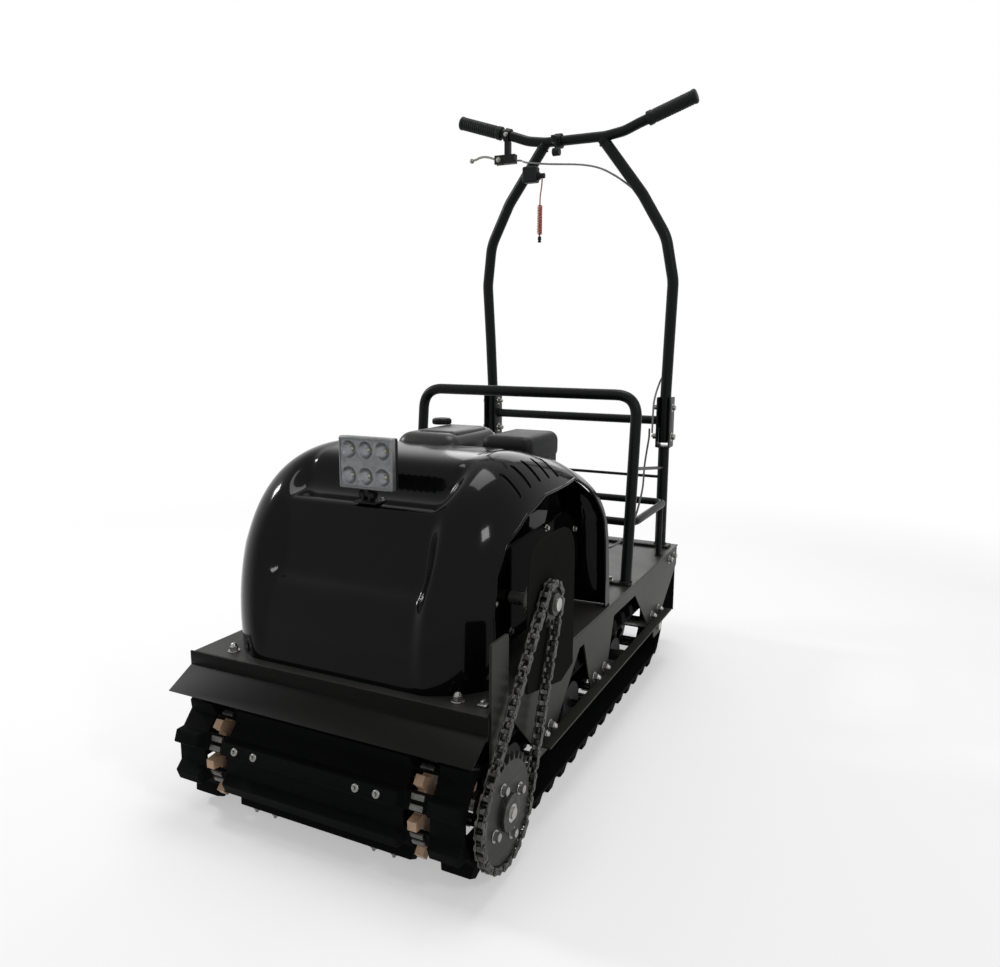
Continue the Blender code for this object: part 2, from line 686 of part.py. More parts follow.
def build_drive_cover():
    """Smooth closed cover over the engine's drive clutch, racetrack shaped, between crank and jackshaft."""
    crank_y, crank_z = JACK_Y + 0.215, COVER_REAR_Z
    radius = COVER_RADIUS
    outline = []
    for k in range(13):
        angle = math.pi / 2 + math.pi * k / 12
        outline.append((JACK_Y + radius * math.cos(angle), JACK_Z + radius * math.sin(angle)))
    for k in range(13):
        angle = -math.pi / 2 + math.pi * k / 12
        outline.append((crank_y + radius * math.cos(angle), crank_z + radius * math.sin(angle)))
    cover = as_mesh(flat("drive_cover", [outline], 2 * COVER_HALF, "gloss_black", facing_x(COVER_X)))
    rounding = cover.modifiers.new("edges", "BEVEL")
    rounding.width = 0.010
    rounding.segments = 1
    rounding.angle_limit = math.radians(50)


# Frame

def build_deck():
    """Deck plate, side frames with their tapered legs, lower rails and bumper."""
    low = DECK_TOP - SHEET
    edge = [(-FRAME_OUT, DECK_FRONT), (FRAME_OUT, DECK_FRONT), (FRAME_OUT, REAR), (-FRAME_OUT, REAR)]
    flat("deck_plate", [edge], SHEET, "olive_steel", facing_z(DECK_TOP - SHEET / 2))
    top = low - SEAT
    frame = [
        (DECK_FRONT + 0.004, top), (DECK_FRONT + 0.004, 0.203), (FRONT + 0.1395, 0.203),
        (RAIL_FRONT, LEG_BOTTOM),
        (RAIL_FRONT + 0.060, LEG_BOTTOM), (-0.2395 * HALF_LENGTH, STRIP_BOTTOM),
        (-0.1983 * HALF_LENGTH, STRIP_BOTTOM), (-0.1216 * HALF_LENGTH, LEG_BOTTOM),
        (0.0281 * HALF_LENGTH, LEG_BOTTOM), (0.1029 * HALF_LENGTH, STRIP_BOTTOM),
        (0.3555 * HALF_LENGTH, STRIP_BOTTOM), (RAIL_REAR - 0.115, LEG_BOTTOM), (RAIL_REAR - 0.030, LEG_BOTTOM),
        (REAR - 0.0095, 0.195), (REAR - 0.0095, top),
    ]
    flange = RAIL_TOP - RAIL_SIZE
    rail = [
        (0, RAIL_TOP), (0, flange), (SHEET, flange), (SHEET, RAIL_TOP - SHEET),
        (RAIL_SIZE, RAIL_TOP - SHEET), (RAIL_SIZE, RAIL_TOP),
    ]

    def side_frame(name, side):
        middle = side * (FRAME_IN + SHEET / 2)
        flat("side_frame_" + name, [frame], SHEET, "olive_steel", facing_x(middle))
        inner = FRAME_OUT + SEAT
        section = [(side * (inner + x), z) for x, z in rail]
        angle = as_mesh(flat("lower_rail_" + name, [section], RAIL_REAR - RAIL_FRONT, "grey_plate",
                             facing_y((RAIL_FRONT + RAIL_REAR) / 2)))
        hanger = [(IDLER_Y - 0.045, RAIL_TOP - 0.004), (IDLER_Y - 0.030, 0.074), (IDLER_Y + 0.030, 0.074),
                  (IDLER_Y + 0.040, RAIL_TOP - 0.004)]
        tab = flat("axle_hanger_" + name, [hanger], SHEET, "grey_plate",
                   facing_x(side * (inner + SHEET / 2)))
        join(angle, tab)
        hole = IDLER_SHAFT_RADIUS + TURNING_FIT
        bore = rod("axle_hole_" + name, (side * (inner - 0.01), IDLER_Y, AXLE_Z),
                   (side * (inner + 0.015), IDLER_Y, AXLE_Z), hole, "bare_steel", sides=24)
        cut(angle, bore)

    both_sides(side_frame)


def build_bumper():
    """Folded front bumper: an upright strip, then a face that leans forward to a stiffening lip."""
    front = DECK_FRONT - SEAT
    half = FRAME_OUT + 0.0055
    profile = [(front, DECK_TOP), (front, 0.216), (FRONT + 0.0165, 0.192), (FRONT + 0.0345, 0.183)]
    bm = bmesh.new()
    verts = [bm.verts.new((-half, y, z)) for y, z in profile]
    edges = [bm.edges.new((a, b)) for a, b in zip(verts, verts[1:])]
    made = bmesh.ops.extrude_edge_only(bm, edges=edges)
    moved = [item for item in made["geom"] if isinstance(item, bmesh.types.BMVert)]
    bmesh.ops.translate(bm, verts=moved, vec=(2 * half, 0, 0))
    bumper = mesh_object("front_bumper", bm, "powder_black")
    wall = bumper.modifiers.new("wall", "SOLIDIFY")
    wall.thickness = SHEET
    wall.offset = 1.0
    wall.use_even_offset = True


def build_uprights():
    """Bearing plates of the drive axle, the tall one on the chain side, with their bearings."""
    half = 0.026
    centre = DRIVE_Y + 0.004

    def upright(name, side):
        top = 0.336 if side > 0 else DECK_TOP - SHEET - SEAT
        edge = [(centre - half, 0.056), (centre + half, 0.056), (centre + half, top), (centre - half, top)]
        outline = [(p.x, p.y) for p in rounded([(*p, 0) for p in edge], 0.006, 2, True)]
        hole = circle(DRIVE_Y, AXLE_Z, DRIVE_SHAFT_RADIUS + TURNING_FIT)
        middle = side * (FRAME_OUT + SEAT + UPRIGHT_THICK / 2)
        flat("upright_" + name, [outline, hole], UPRIGHT_THICK, "grey_plate", facing_x(middle))
        bore = DRIVE_SHAFT_RADIUS + TURNING_FIT
        inner, outer = FRAME_OUT - 0.020, FRAME_OUT
        ring = [(0.030, outer), (0.030, inner), (bore, inner), (bore, outer)]
        if side < 0:
            ring = [(radius, -x) for radius, x in reversed(ring)]
        turned("drive_bearing_" + name, ring, "engine_alloy", (0, DRIVE_Y, AXLE_Z), ring=True)

    both_sides(upright)


def build_inner_frame():
    """Two bogie beams welded to two cross tubes that reach the side frames."""
    low, high = 0.046, 0.128
    nose, tail = DRIVE_Y + 0.1036, IDLER_Y - 0.0824
    edge = [(nose, 0.075), (nose + 0.025, low), (tail - 0.035, low), (tail, 0.075), (tail, 0.105),
            (tail - 0.100, high), (nose + 0.090, high), (nose, 0.105)]
    holes = [circle(y, BOGIE_Z, BOGIE_SHAFT_RADIUS + TURNING_FIT, 16) for y in BOGIE_Y]
    stations = (BOGIE_Y[0], TUBE_Y[0], BOGIE_Y[1], TUBE_Y[1], BOGIE_Y[2])
    shares = ((0.40, 0.65, 0.100), (0.25, 0.75, 0.102), (0.286, 0.75, 0.103), (0.318, 0.682, 0.101))
    slots = []
    for near, far, (start, end, roof) in zip(stations, stations[1:], shares):
        a, b = near + (far - near) * start, near + (far - near) * end
        floor = 0.168 - roof
        corners = [(a, floor, 0), (b, floor, 0), (b, roof, 0), (a, roof, 0)]
        slots.append([(p.x, p.y) for p in rounded(corners, 0.010, 1, True)])
    beams = []
    for name, side in (("left", -1), ("right", 1)):
        beam = flat("slide_beam_" + name, [edge, *holes, *slots], BEAM_THICK, "powder_black", facing_x(side * BEAM_X))
        beams.append(as_mesh(beam))
    reach = FRAME_IN - SEAT
    tubes = [
        rod("inner_tube_%d" % k, (-reach, y, 0.112), (reach, y, 0.112), INNER_TUBE_RADIUS, "powder_black", sides=10)
        for k, y in enumerate(TUBE_Y)
    ]
    frame = beams[0]
    frame.name = "slide_frame"
    join(frame, beams[1], *tubes)


def wheel_axle(name, shaft, half, wheels, radius, width, y, z, finish):
    """A turned shaft with flat-faced wheels along it, symmetric about the middle."""
    profile = [(0, half), (shaft, half)]
    for x in sorted(wheels + [-x for x in wheels], reverse=True):
        profile += [(shaft, x + width / 2), (radius, x + width / 2), (radius, x - width / 2), (shaft, x - width / 2)]
    profile += [(shaft, -half), (0, -half)]
    turned(name, profile, finish, (0, y, z), steps=18)


def build_rollers():
    """Bogie axles with their wheels, and the rear idler axle with two spoked wheels."""
    for k, y in enumerate(BOGIE_Y, 1):
        wheel_axle("bogie_axle_%d" % k, BOGIE_SHAFT_RADIUS, BOGIE_X + 0.032, [BOGIE_X], BOGIE_RADIUS, 0.032, y,
                   BOGIE_Z, "matt_black")
    end = FRAME_OUT + SHEET + 0.006
    turned("idler_axle", [(0, end), (IDLER_SHAFT_RADIUS, end), (IDLER_SHAFT_RADIUS, -end), (0, -end)],
           "bare_steel", (0, IDLER_Y, AXLE_Z), steps=24)
    rim = circle(IDLER_Y, AXLE_Z, WHEEL_FIT_RADIUS, 30)
    bore = circle(IDLER_Y, AXLE_Z, IDLER_SHAFT_RADIUS + SEAT, 20)
    windows = []
    for k in range(5):
        turn = 2 * math.pi * k / 5
        corners = [(0.026, -0.30), (0.058, -0.48), (0.058, 0.48), (0.026, 0.30)]
        windows.append([
            (IDLER_Y + r * math.cos(turn + a), AXLE_Z + r * math.sin(turn + a)) for r, a in corners
        ])

    def idler(name, side):
        flat("idler_wheel_" + name, [rim, bore, *windows], IDLER_WIDTH, "matt_black", facing_x(side * IDLER_X))

    both_sides(idler)


# Body

# Side views of the hood from its front foot over the top, as (distance from the front, z):
# at the middle, on a lobe, at the shoulder, and the foot's own distances
HOOD_MIDDLE = [
    (0.0775, 0.2403), (0.0825, 0.295), (0.0925, 0.345), (0.1065, 0.364), (0.1265, 0.371), (0.1385, 0.425),
    (0.1465, 0.470), (0.1425, LEDGE_Z), (0.1965, LEDGE_Z), (0.2125, 0.532), (0.2365, 0.545), (0.2845, 0.548),
    (0.3545, 0.547), (0.3845, 0.545),
]
HOOD_LOBE = [
    (0.0775, 0.2403), (0.0755, 0.295), (0.0815, 0.345), (0.0920, 0.385), (0.1050, 0.420), (0.1210, 0.450),
    (0.1410, 0.478), (0.1655, 0.503), (0.1955, 0.525), (0.2330, 0.542), (0.2840, 0.552), (0.3440, 0.552),
    (0.4490, 0.534), (0.5345, 0.500),
]
HOOD_SHOULDER = [
    (0.1895, 0.2403), (0.1915, 0.278), (0.1945, 0.308), (0.1995, 0.334), (0.2075, 0.356), (0.2195, 0.375),
    (0.2315, 0.392), (0.2465, 0.405), (0.2665, 0.414), (0.2925, 0.420), (0.3295, 0.423), (0.3845, 0.423),
    (0.4745, 0.414), (0.5525, 0.395),
]
HOOD_SIDE_FOOT = [
    0.1895, 0.2045, 0.2225, 0.2425, 0.2645, 0.2885, 0.3145, 0.3425, 0.3725, 0.4045, 0.4395, 0.4795, 0.5245,
    0.5695,
]


def hood_row(k):
    """Points of one section of the hood, from the middle out to its foot on the deck."""
    middle, lobe, shoulder = HOOD_MIDDLE[k], HOOD_LOBE[k], HOOD_SHOULDER[k]
    row = []
    for x in (0.0, LOBE_IN / 2, LOBE_IN, (LOBE_IN + LOBE_OUT) / 2, LOBE_OUT):
        share = min(max((x - LOBE_IN) / (LOBE_OUT - LOBE_IN), 0.0), 1.0)
        share = share * share * (3 - 2 * share)
        row.append((x, *(a + (b - a) * share for a, b in zip(middle, lobe))))
    fullness = 1.4 + 0.45 * min(k / 8, 1.0)
    for step in (0.28, 0.52, 0.74, 0.90, 1.0):
        share = 1 - (1 - step ** fullness) ** (1 / fullness)
        row.append((LOBE_OUT + (HOOD_HALF - LOBE_OUT) * step,
                    *(a + (b - a) * share for a, b in zip(lobe, shoulder))))
    foot = HOOD_SIDE_FOOT[k]
    for step in (0.5, 1.0):
        row.append((HOOD_HALF, shoulder[0] + (foot - shoulder[0]) * step,
                    shoulder[1] + (HOOD_BASE_Z - shoulder[1]) * step))
    return [(x, FRONT + y, z) for x, y, z in row]


def build_hood():
    """Moulded hood: two fender lobes, a recessed front panel, louvres and a wide arch in each side."""
    bm = bmesh.new()
    rows = []
    for k in range(len(HOOD_MIDDLE)):
        half = hood_row(k)
        line = [(-x, y, z) for x, y, z in reversed(half[1:])] + half
        rows.append([bm.verts.new(point) for point in line])
    for row, following in zip(rows, rows[1:]):
        for c in range(len(row) - 1):
            bm.faces.new((row[c], row[c + 1], following[c + 1], following[c]))
    bmesh.ops.remove_doubles(bm, verts=bm.verts, dist=0.0002)
    bmesh.ops.triangulate(bm, faces=bm.faces)
    hood = mesh_object("hood", bm, "gloss_black", smooth=True)
    wall = hood.modifiers.new("wall", "SOLIDIFY")
    wall.thickness = HOOD_WALL
    wall.offset = -1.0
    hood = as_mesh(hood)
    arch = [(0.1425, 0.150), (0.1425, 0.350), (0.1545, 0.400), (0.1815, 0.440), (0.2345, 0.471), (0.3045, 0.489),
            (0.4645, 0.490), (0.5125, 0.466), (0.5365, 0.410), (0.5445, 0.290), (0.5465, 0.150)]
    arch = [(FRONT + y, z) for y, z in arch]
    cutter = flat("arch_cutter", [arch], 2 * HOOD_HALF + 0.2, "gloss_black", facing_x(0.0))
    keep = LOBE_OUT + 0.008
    front = box("arch_keep", (-keep, FRONT - 0.1, 0.10), (keep, FRONT + 0.75, 0.70), "gloss_black")
    arches = as_mesh(cutter)
    cut(arches, front)
    cut(hood, arches)
    slots = []
    for k in range(5):
        y = FRONT + 0.2345 + 0.036 * k
        x = HOOD_HALF - 0.048
        for side in (-1, 1):
            slots.append(box("louvre_%d_%s" % (k, "right" if side > 0 else "left"),
                             (side * x - 0.017, y, 0.480), (side * x + 0.017, y + 0.009, 0.600), "gloss_black"))
    bay = box("tank_bay", (-0.180, FRONT + 0.3765, 0.30), (0.176, FRONT + 0.7345, 0.70), "gloss_black")
    cut(hood, bay, *slots)


def build_engine():
    """Single-cylinder engine with cooling fins, and its tank, filter cover, starter and muffler."""
    base = ENGINE_BASE_Z
    y = ENGINE_Y
    block = box("engine_block", (-0.125, y - 0.130, base), (0.120, y + 0.090, 0.400), "engine_alloy", 0.012, 2)
    cylinder = box("cylinder", (-0.060, y - 0.165, 0.350), (0.070, y + 0.010, 0.470), "engine_alloy")
    fins = [
        box("fin_%d" % k, (-0.075, y - 0.180, z), (0.085, y + 0.025, z + 0.005), "engine_alloy")
        for k, z in enumerate((0.412, 0.425, 0.438, 0.451))
    ]
    shaft = rod("crank_boss", (0.110, y, COVER_REAR_Z), (COVER_X - COVER_HALF - 0.0005, y, COVER_REAR_Z), 0.024,
                "engine_alloy", sides=16)
    feet = box("engine_feet", (-0.105, y - 0.155, base), (0.105, y + 0.115, base + 0.014), "engine_alloy")
    join(block, cylinder, *fins, shaft, feet)
    tank = box("fuel_tank", (-0.120, y - 0.080, TANK_LOW), (0.036, y + 0.115, TANK_TOP), "matt_black", 0.022, 3)
    saddle = box("tank_saddle", (-0.055, y - 0.060, 0.4703), (0.025, y, 0.500), "matt_black")
    join(tank, saddle)
    cap = [(0, 0.0105), (0.018, 0.0105), (0.022, 0.006), (0.022, -0.006), (0, -0.006)]
    turned("tank_cap", cap, "matt_black", (-0.075, y + 0.060, TANK_TOP + SEAT + 0.006), TURN_Z, 20)
    filter_cover = box("air_filter_cover", (0.046, y - 0.060, 0.486), (0.168, y + 0.100, 0.566), "matt_black",
                       0.018, 3)
    neck = box("filter_neck", (0.087, y + 0.028, 0.4003), (0.106, y + 0.066, 0.500), "matt_black")
    join(filter_cover, neck)
    housing = [(0, 0.030), (0.050, 0.030), (0.082, 0.018), (0.090, 0.000), (0.090, -0.030), (0, -0.030)]
    turned("recoil_housing", housing, "matt_black", (-0.1553 - SEAT, y, 0.345), TURN_X @ Matrix.Rotation(
        math.pi, 4, "X"), 28)
    handle = [(0, 0.009), (0.006, 0.009), (0.006, -0.009), (0, -0.009)]
    grip = turned("starter_handle", handle, "matt_black", (-0.1949 - SEAT, y - 0.025, 0.375), TURN_X, 12)
    bar = box("starter_bar", (-0.2150, y - 0.042, 0.367), (-0.2030, y - 0.008, 0.383), "matt_black", 0.003, 1)
    join(grip, bar)
    muffler = box("muffler", (-0.080, y + 0.130, 0.330), (0.070, y + 0.198, 0.430), "matt_black", 0.014, 2)
    pipe = rod("exhaust_pipe", (-0.020, y + 0.090 + SEAT, 0.370), (-0.020, y + 0.145, 0.370), 0.014,
               "matt_black", "Y", 12)
    join(muffler, pipe)


def build_lamp():
    """Square work light whose tongue tilts between the ears of a short stalk on the hood's ledge."""
    x, y = 0.014, FRONT + 0.1545
    half_x, bottom, top = 0.0465, 0.506, 0.588
    pivot_z = 0.4965
    ear, thick, pin_radius = 0.0035, 0.004, 0.0025
    head = box("lamp_head", (x - half_x, y - 0.014, bottom), (x + half_x, y + 0.004, top), "lamp_silver",
               0.004, 2)
    fins = [
        box("lamp_fin_%d" % k, (x - 0.038 + 0.019 * k - 0.002, y, bottom + 0.007),
            (x - 0.038 + 0.019 * k + 0.002, y + 0.016, top - 0.007), "matt_black")
        for k in range(5)
    ]
    tongue = as_mesh(box("lamp_tongue", (x - ear, y - 0.005, pivot_z - 0.005), (x + ear, y + 0.005, bottom + 0.004),
                         "lamp_silver"))
    hole = rod("lamp_hole", (x - 0.02, y, pivot_z), (x + 0.02, y, pivot_z), pin_radius + TURNING_FIT, "lamp_silver",
               sides=12)
    cut(tongue, hole)
    join(head, *fins, as_mesh(tongue))
    inner = ear + SEAT
    low, ear_top = LEDGE_Z + SEAT, 0.5025
    ears = [(-inner - thick, ear_top), (-inner - thick, low), (inner + thick, low), (inner + thick, ear_top),
            (inner, ear_top), (inner, low + 0.004), (-inner, low + 0.004), (-inner, ear_top)]
    stalk = as_mesh(flat("lamp_bracket", [[(x + a, b) for a, b in ears]], 0.013, "powder_black", facing_y(y)))
    foot = box("lamp_foot", (x - 0.020, y - 0.010, low), (x + 0.020, y + 0.020, low + 0.0025), "powder_black")
    reach = inner + thick + 0.004
    pin = rod("lamp_pin", (x - reach, y, pivot_z), (x + reach, y, pivot_z), pin_radius, "powder_black", sides=12)
    heads = [
        rod("lamp_knob_%d" % k, (x + side * (inner + thick - 0.001), y, pivot_z),
            (x + side * (inner + thick + 0.006), y, pivot_z), 0.0055, "powder_black", sides=8)
        for k, side in enumerate((-1, 1))
    ]
    join(stalk, foot, pin, *heads)


# Rack and rear frame

def hoop_y(z):
    """Where the hoop's leg stands at a height."""
    return HOOP_FOOT_Y + (HOOP_TOP_Y - HOOP_FOOT_Y) * (z - DECK_TOP) / (HOOP_TOP - DECK_TOP)


def build_rack():
    """Tall hoop with its foot bar and side rods, and the low rim on two rear legs."""
    foot = DECK_TOP + SEAT
    start = foot + 0.0015
    leg = [(-HOOP_X, HOOP_FOOT_Y, start), (-HOOP_X, HOOP_TOP_Y, HOOP_TOP), (HOOP_X, HOOP_TOP_Y, HOOP_TOP),
           (HOOP_X, HOOP_FOOT_Y, start)]
    hoop = as_mesh(tube("rack_hoop", rounded(leg, HOOP_CORNER, 5), HOOP_RADIUS, "powder_black"))
    bar = box("hoop_foot_bar", (-HOOP_X, HOOP_FOOT_Y - 0.012, foot), (HOOP_X, HOOP_FOOT_Y + 0.012, foot + 0.005),
              "powder_black")
    join(hoop, bar)
    front = hoop_y(RIM_Z + RIM_RADIUS) + HOOP_RADIUS + RIM_RADIUS + SEAT
    path = [(-RIM_X, front, RIM_Z), (-RIM_X, RIM_REAR, RIM_Z), (RIM_X, RIM_REAR, RIM_Z), (RIM_X, front, RIM_Z)]
    rim = as_mesh(tube("rack_rim", rounded(path, 0.025, 3, True), RIM_RADIUS, "powder_black", closed=True))
    legs = []
    for name, side in (("left", -1), ("right", 1)):
        legs.append(rod("rim_leg_" + name, (side * (RIM_X - 0.004), RIM_REAR - 0.020, foot),
                        (side * (RIM_X - 0.004), RIM_REAR - 0.020, RIM_Z), 0.0065, "powder_black", "Z", 8))
    join(rim, *legs)


def build_rear_frame():
    """Rear posts with channel brackets, welded to a cross tube, a thin rod and a foot bar."""
    foot = DECK_TOP + SEAT
    posts = []
    channels = []
    bolts = []
    for name, side in (("left", -1), ("right", 1)):
        x = side * POST_X
        posts.append(rod("rear_post_" + name, (x, POST_Y, foot + 0.002), (x, POST_Y, BRACKET_BOTTOM + 0.001),
                         TUBE_RADIUS, "powder_black", "Z", 12))
        half = TUBE_RADIUS + TURNING_FIT + BRACKET_WALL
        block = box("column_bracket_" + name, (x - half, POST_Y - 0.018, BRACKET_BOTTOM),
                    (x + half, POST_Y + 0.018 + BRACKET_WALL, BRACKET_TOP), "powder_black")
        slot = box("bracket_slot_" + name, (x - half + BRACKET_WALL, POST_Y - 0.030, BRACKET_BOTTOM + BRACKET_WALL),
                   (x + half - BRACKET_WALL, POST_Y + TUBE_RADIUS + SEAT, BRACKET_TOP + 0.01), "powder_black")
        relief = box("bracket_relief_" + name,
                     (x - half + BRACKET_WALL, POST_Y - 0.030, BRACKET_BOTTOM + BRACKET_WALL),
                     (x + half - BRACKET_WALL, POST_Y + 0.040, FOLD_Z + TUBE_RADIUS + 0.006), "powder_black")
        block = as_mesh(block)
        cut(block, slot, relief)
        channels.append(as_mesh(block))
        head, seat = half + 0.0055, half - 0.001
        pivot = [(0, head), (0.0065, head), (0.0065, seat), (BOLT_RADIUS, seat), (BOLT_RADIUS, -seat),
                 (0.0065, -seat), (0.0065, -head), (0, -head)]
        bolts.append(turned("fold_bolt_" + name, pivot, "bare_steel", (x, POST_Y, FOLD_Z), steps=12))
        for end in (-1, 1):
            bolts.append(rod("clamp_bolt_%s_%s" % (name, "in" if end * side < 0 else "out"),
                             (x + end * seat, POST_Y, CLAMP_Z), (x + end * head, POST_Y, CLAMP_Z),
                             0.0065, "bare_steel", sides=6))
    reach = POST_X - TUBE_RADIUS - BRACKET_WALL + 0.001
    cross = rod("cross_tube", (-reach, POST_Y, CROSS_Z), (reach, POST_Y, CROSS_Z), 0.010, "powder_black", sides=12)
    thin = rod("cross_rod", (-POST_X, POST_Y, CROSS_ROD_Z), (POST_X, POST_Y, CROSS_ROD_Z), ROD_RADIUS,
               "powder_black", sides=8)
    end = FRAME_OUT - 0.0115
    bar = box("rear_foot_bar", (-end, POST_Y - 0.020, foot), (end, POST_Y + 0.014, foot + 0.006), "powder_black")
    rods = []
    for name, side in (("left", -1), ("right", 1)):
        points = [(side * HOOP_X, hoop_y(ROD_FRONT_Z) + HOOP_RADIUS + 0.0010, ROD_FRONT_Z),
                  (side * POST_X, POST_Y, ROD_REAR_Z)]
        rods.append(tube("side_rod_" + name, points, ROD_RADIUS, "powder_black", resolution=2))
    frame = as_mesh(bar)
    frame.name = "rear_frame"
    join(frame, *posts, *channels, cross, thin, *bolts, *rods)


def build_rear():
    """Snow flap with a gap for the hitch, the hitch bracket under the deck's rear edge, and its pin."""
    top = DECK_TOP - SHEET - SEAT
    thick = 0.004
    half = FRAME_OUT - 0.0045
    edge = [(-half, 0.078), (half, 0.078), (half, top), (0.062, top), (0.062, 0.178), (-0.062, 0.178),
            (-0.062, top), (-half, top)]
    flat("snow_flap", [edge], thick, "rubber", facing_y(HALF_LENGTH - thick / 2 - 0.002))
    low = 0.197
    root, web, lip = REAR - 0.0625, REAR - 0.0505, REAR - 0.001
    side = [(root, top), (root, low), (lip, low), (lip, low + 0.006), (web, low + 0.006), (web, top - 0.006),
            (lip, top - 0.006), (lip, top)]
    bracket = as_mesh(flat("hitch_bracket", [side], 0.050, "olive_steel", facing_x(0)))
    pin_y = HALF_LENGTH - 0.018
    hole = rod("hitch_hole", (0, pin_y, low - 0.01), (0, pin_y, DECK_TOP - 0.0001), 0.0061, "bare_steel", "Z", 16)
    cut(bracket, hole)
    pin = [(0, top - 0.001), (0.0055, top - 0.001), (0.0055, low - 0.012), (0.010, low - 0.012), (0.010, low - 0.018),
           (0, low - 0.018)]
    turned("hitch_pin", pin, "zinc_steel", (0, pin_y, 0), TURN_Z, 16)


# Handlebar column

COLUMN_PATH = [
    (POST_X, POST_Y, FOLD_Z - 0.0135), (POST_X, POST_Y, BRACKET_TOP + 0.008),
    (POST_X + 0.004, POST_Y - 0.004, 0.720),
    (POST_X + 0.009, POST_Y - 0.010, 0.850), (POST_X - 0.004, POST_Y - 0.015, 0.945),
    (POST_X - 0.054, POST_Y - 0.021, 1.038), (0.078, POST_Y - 0.029, 1.157),
]
BAR_Y = POST_Y - 0.030
BAR_PATH = [(0.0, BAR_Y, 1.166), (0.072, BAR_Y, 1.166), (0.115, BAR_Y - 0.002, 1.172), (0.148, BAR_Y - 0.0048, 1.1838),
            (BAR_HALF, BAR_Y - 0.014, 1.2275)]


def grip_line():
    """Unit direction of the right end of the bar."""
    return (Vector(BAR_PATH[-1]) - Vector(BAR_PATH[-2])).normalized()


def build_column():
    """Two bowed column tubes welded to the bar, with pivot holes at their feet, and two grips."""
    columns = []
    for name, side in (("left", -1), ("right", 1)):
        path = rounded(bend_x(COLUMN_PATH, side), 0.060, 2)
        column = as_mesh(tube("column_" + name, path, TUBE_RADIUS, "powder_black"))
        x = side * POST_X
        hole = rod("pivot_hole_" + name, (x - 0.03, POST_Y, FOLD_Z), (x + 0.03, POST_Y, FOLD_Z),
                   BOLT_RADIUS + TURNING_FIT, "bare_steel", sides=12)
        cut(column, hole)
        columns.append(as_mesh(column))
    tip = Vector(BAR_PATH[-1]) - grip_line() * 0.004
    right = [*BAR_PATH[1:-1], tuple(tip)]
    points = list(reversed(bend_x(right, -1))) + right
    bar = as_mesh(tube("handlebar_frame", rounded(points, 0.080, 2), BAR_RADIUS, "powder_black"))
    join(bar, *columns)

    def grip(name, side):
        line = grip_line()
        end = Vector(BAR_PATH[-1])
        start = end - line * GRIP_LENGTH
        middle = (start + end) / 2
        half = GRIP_LENGTH / 2
        bore = BAR_RADIUS + SEAT
        collar = GRIP_RADIUS + 0.0015
        profile = [(0, half), (GRIP_RADIUS - 0.001, half), (collar, half - 0.003), (collar, half - 0.008),
                   (GRIP_RADIUS, half - 0.011), (GRIP_RADIUS, -half + 0.010), (collar, -half + 0.008), (collar, -half),
                   (bore, -half), (bore, half - 0.0037), (0, half - 0.0037)]
        direction = Vector((side * line.x, line.y, line.z))
        turn = direction.to_track_quat("Z", "Y").to_matrix().to_4x4()
        place_at = (side * middle.x, middle.y, middle.z)
        turned("grip_" + name, profile, "rubber", place_at, turn, 16)

    both_sides(grip)


def on_bar(x):
    """Centre of the bar at a distance from its middle."""
    for a, b in zip(BAR_PATH, BAR_PATH[1:]):
        if abs(x) <= b[0]:
            share = (abs(x) - a[0]) / (b[0] - a[0])
            return Vector((x, a[1] + (b[1] - a[1]) * share, a[2] + (b[2] - a[2]) * share))
    return Vector(BAR_PATH[-1])


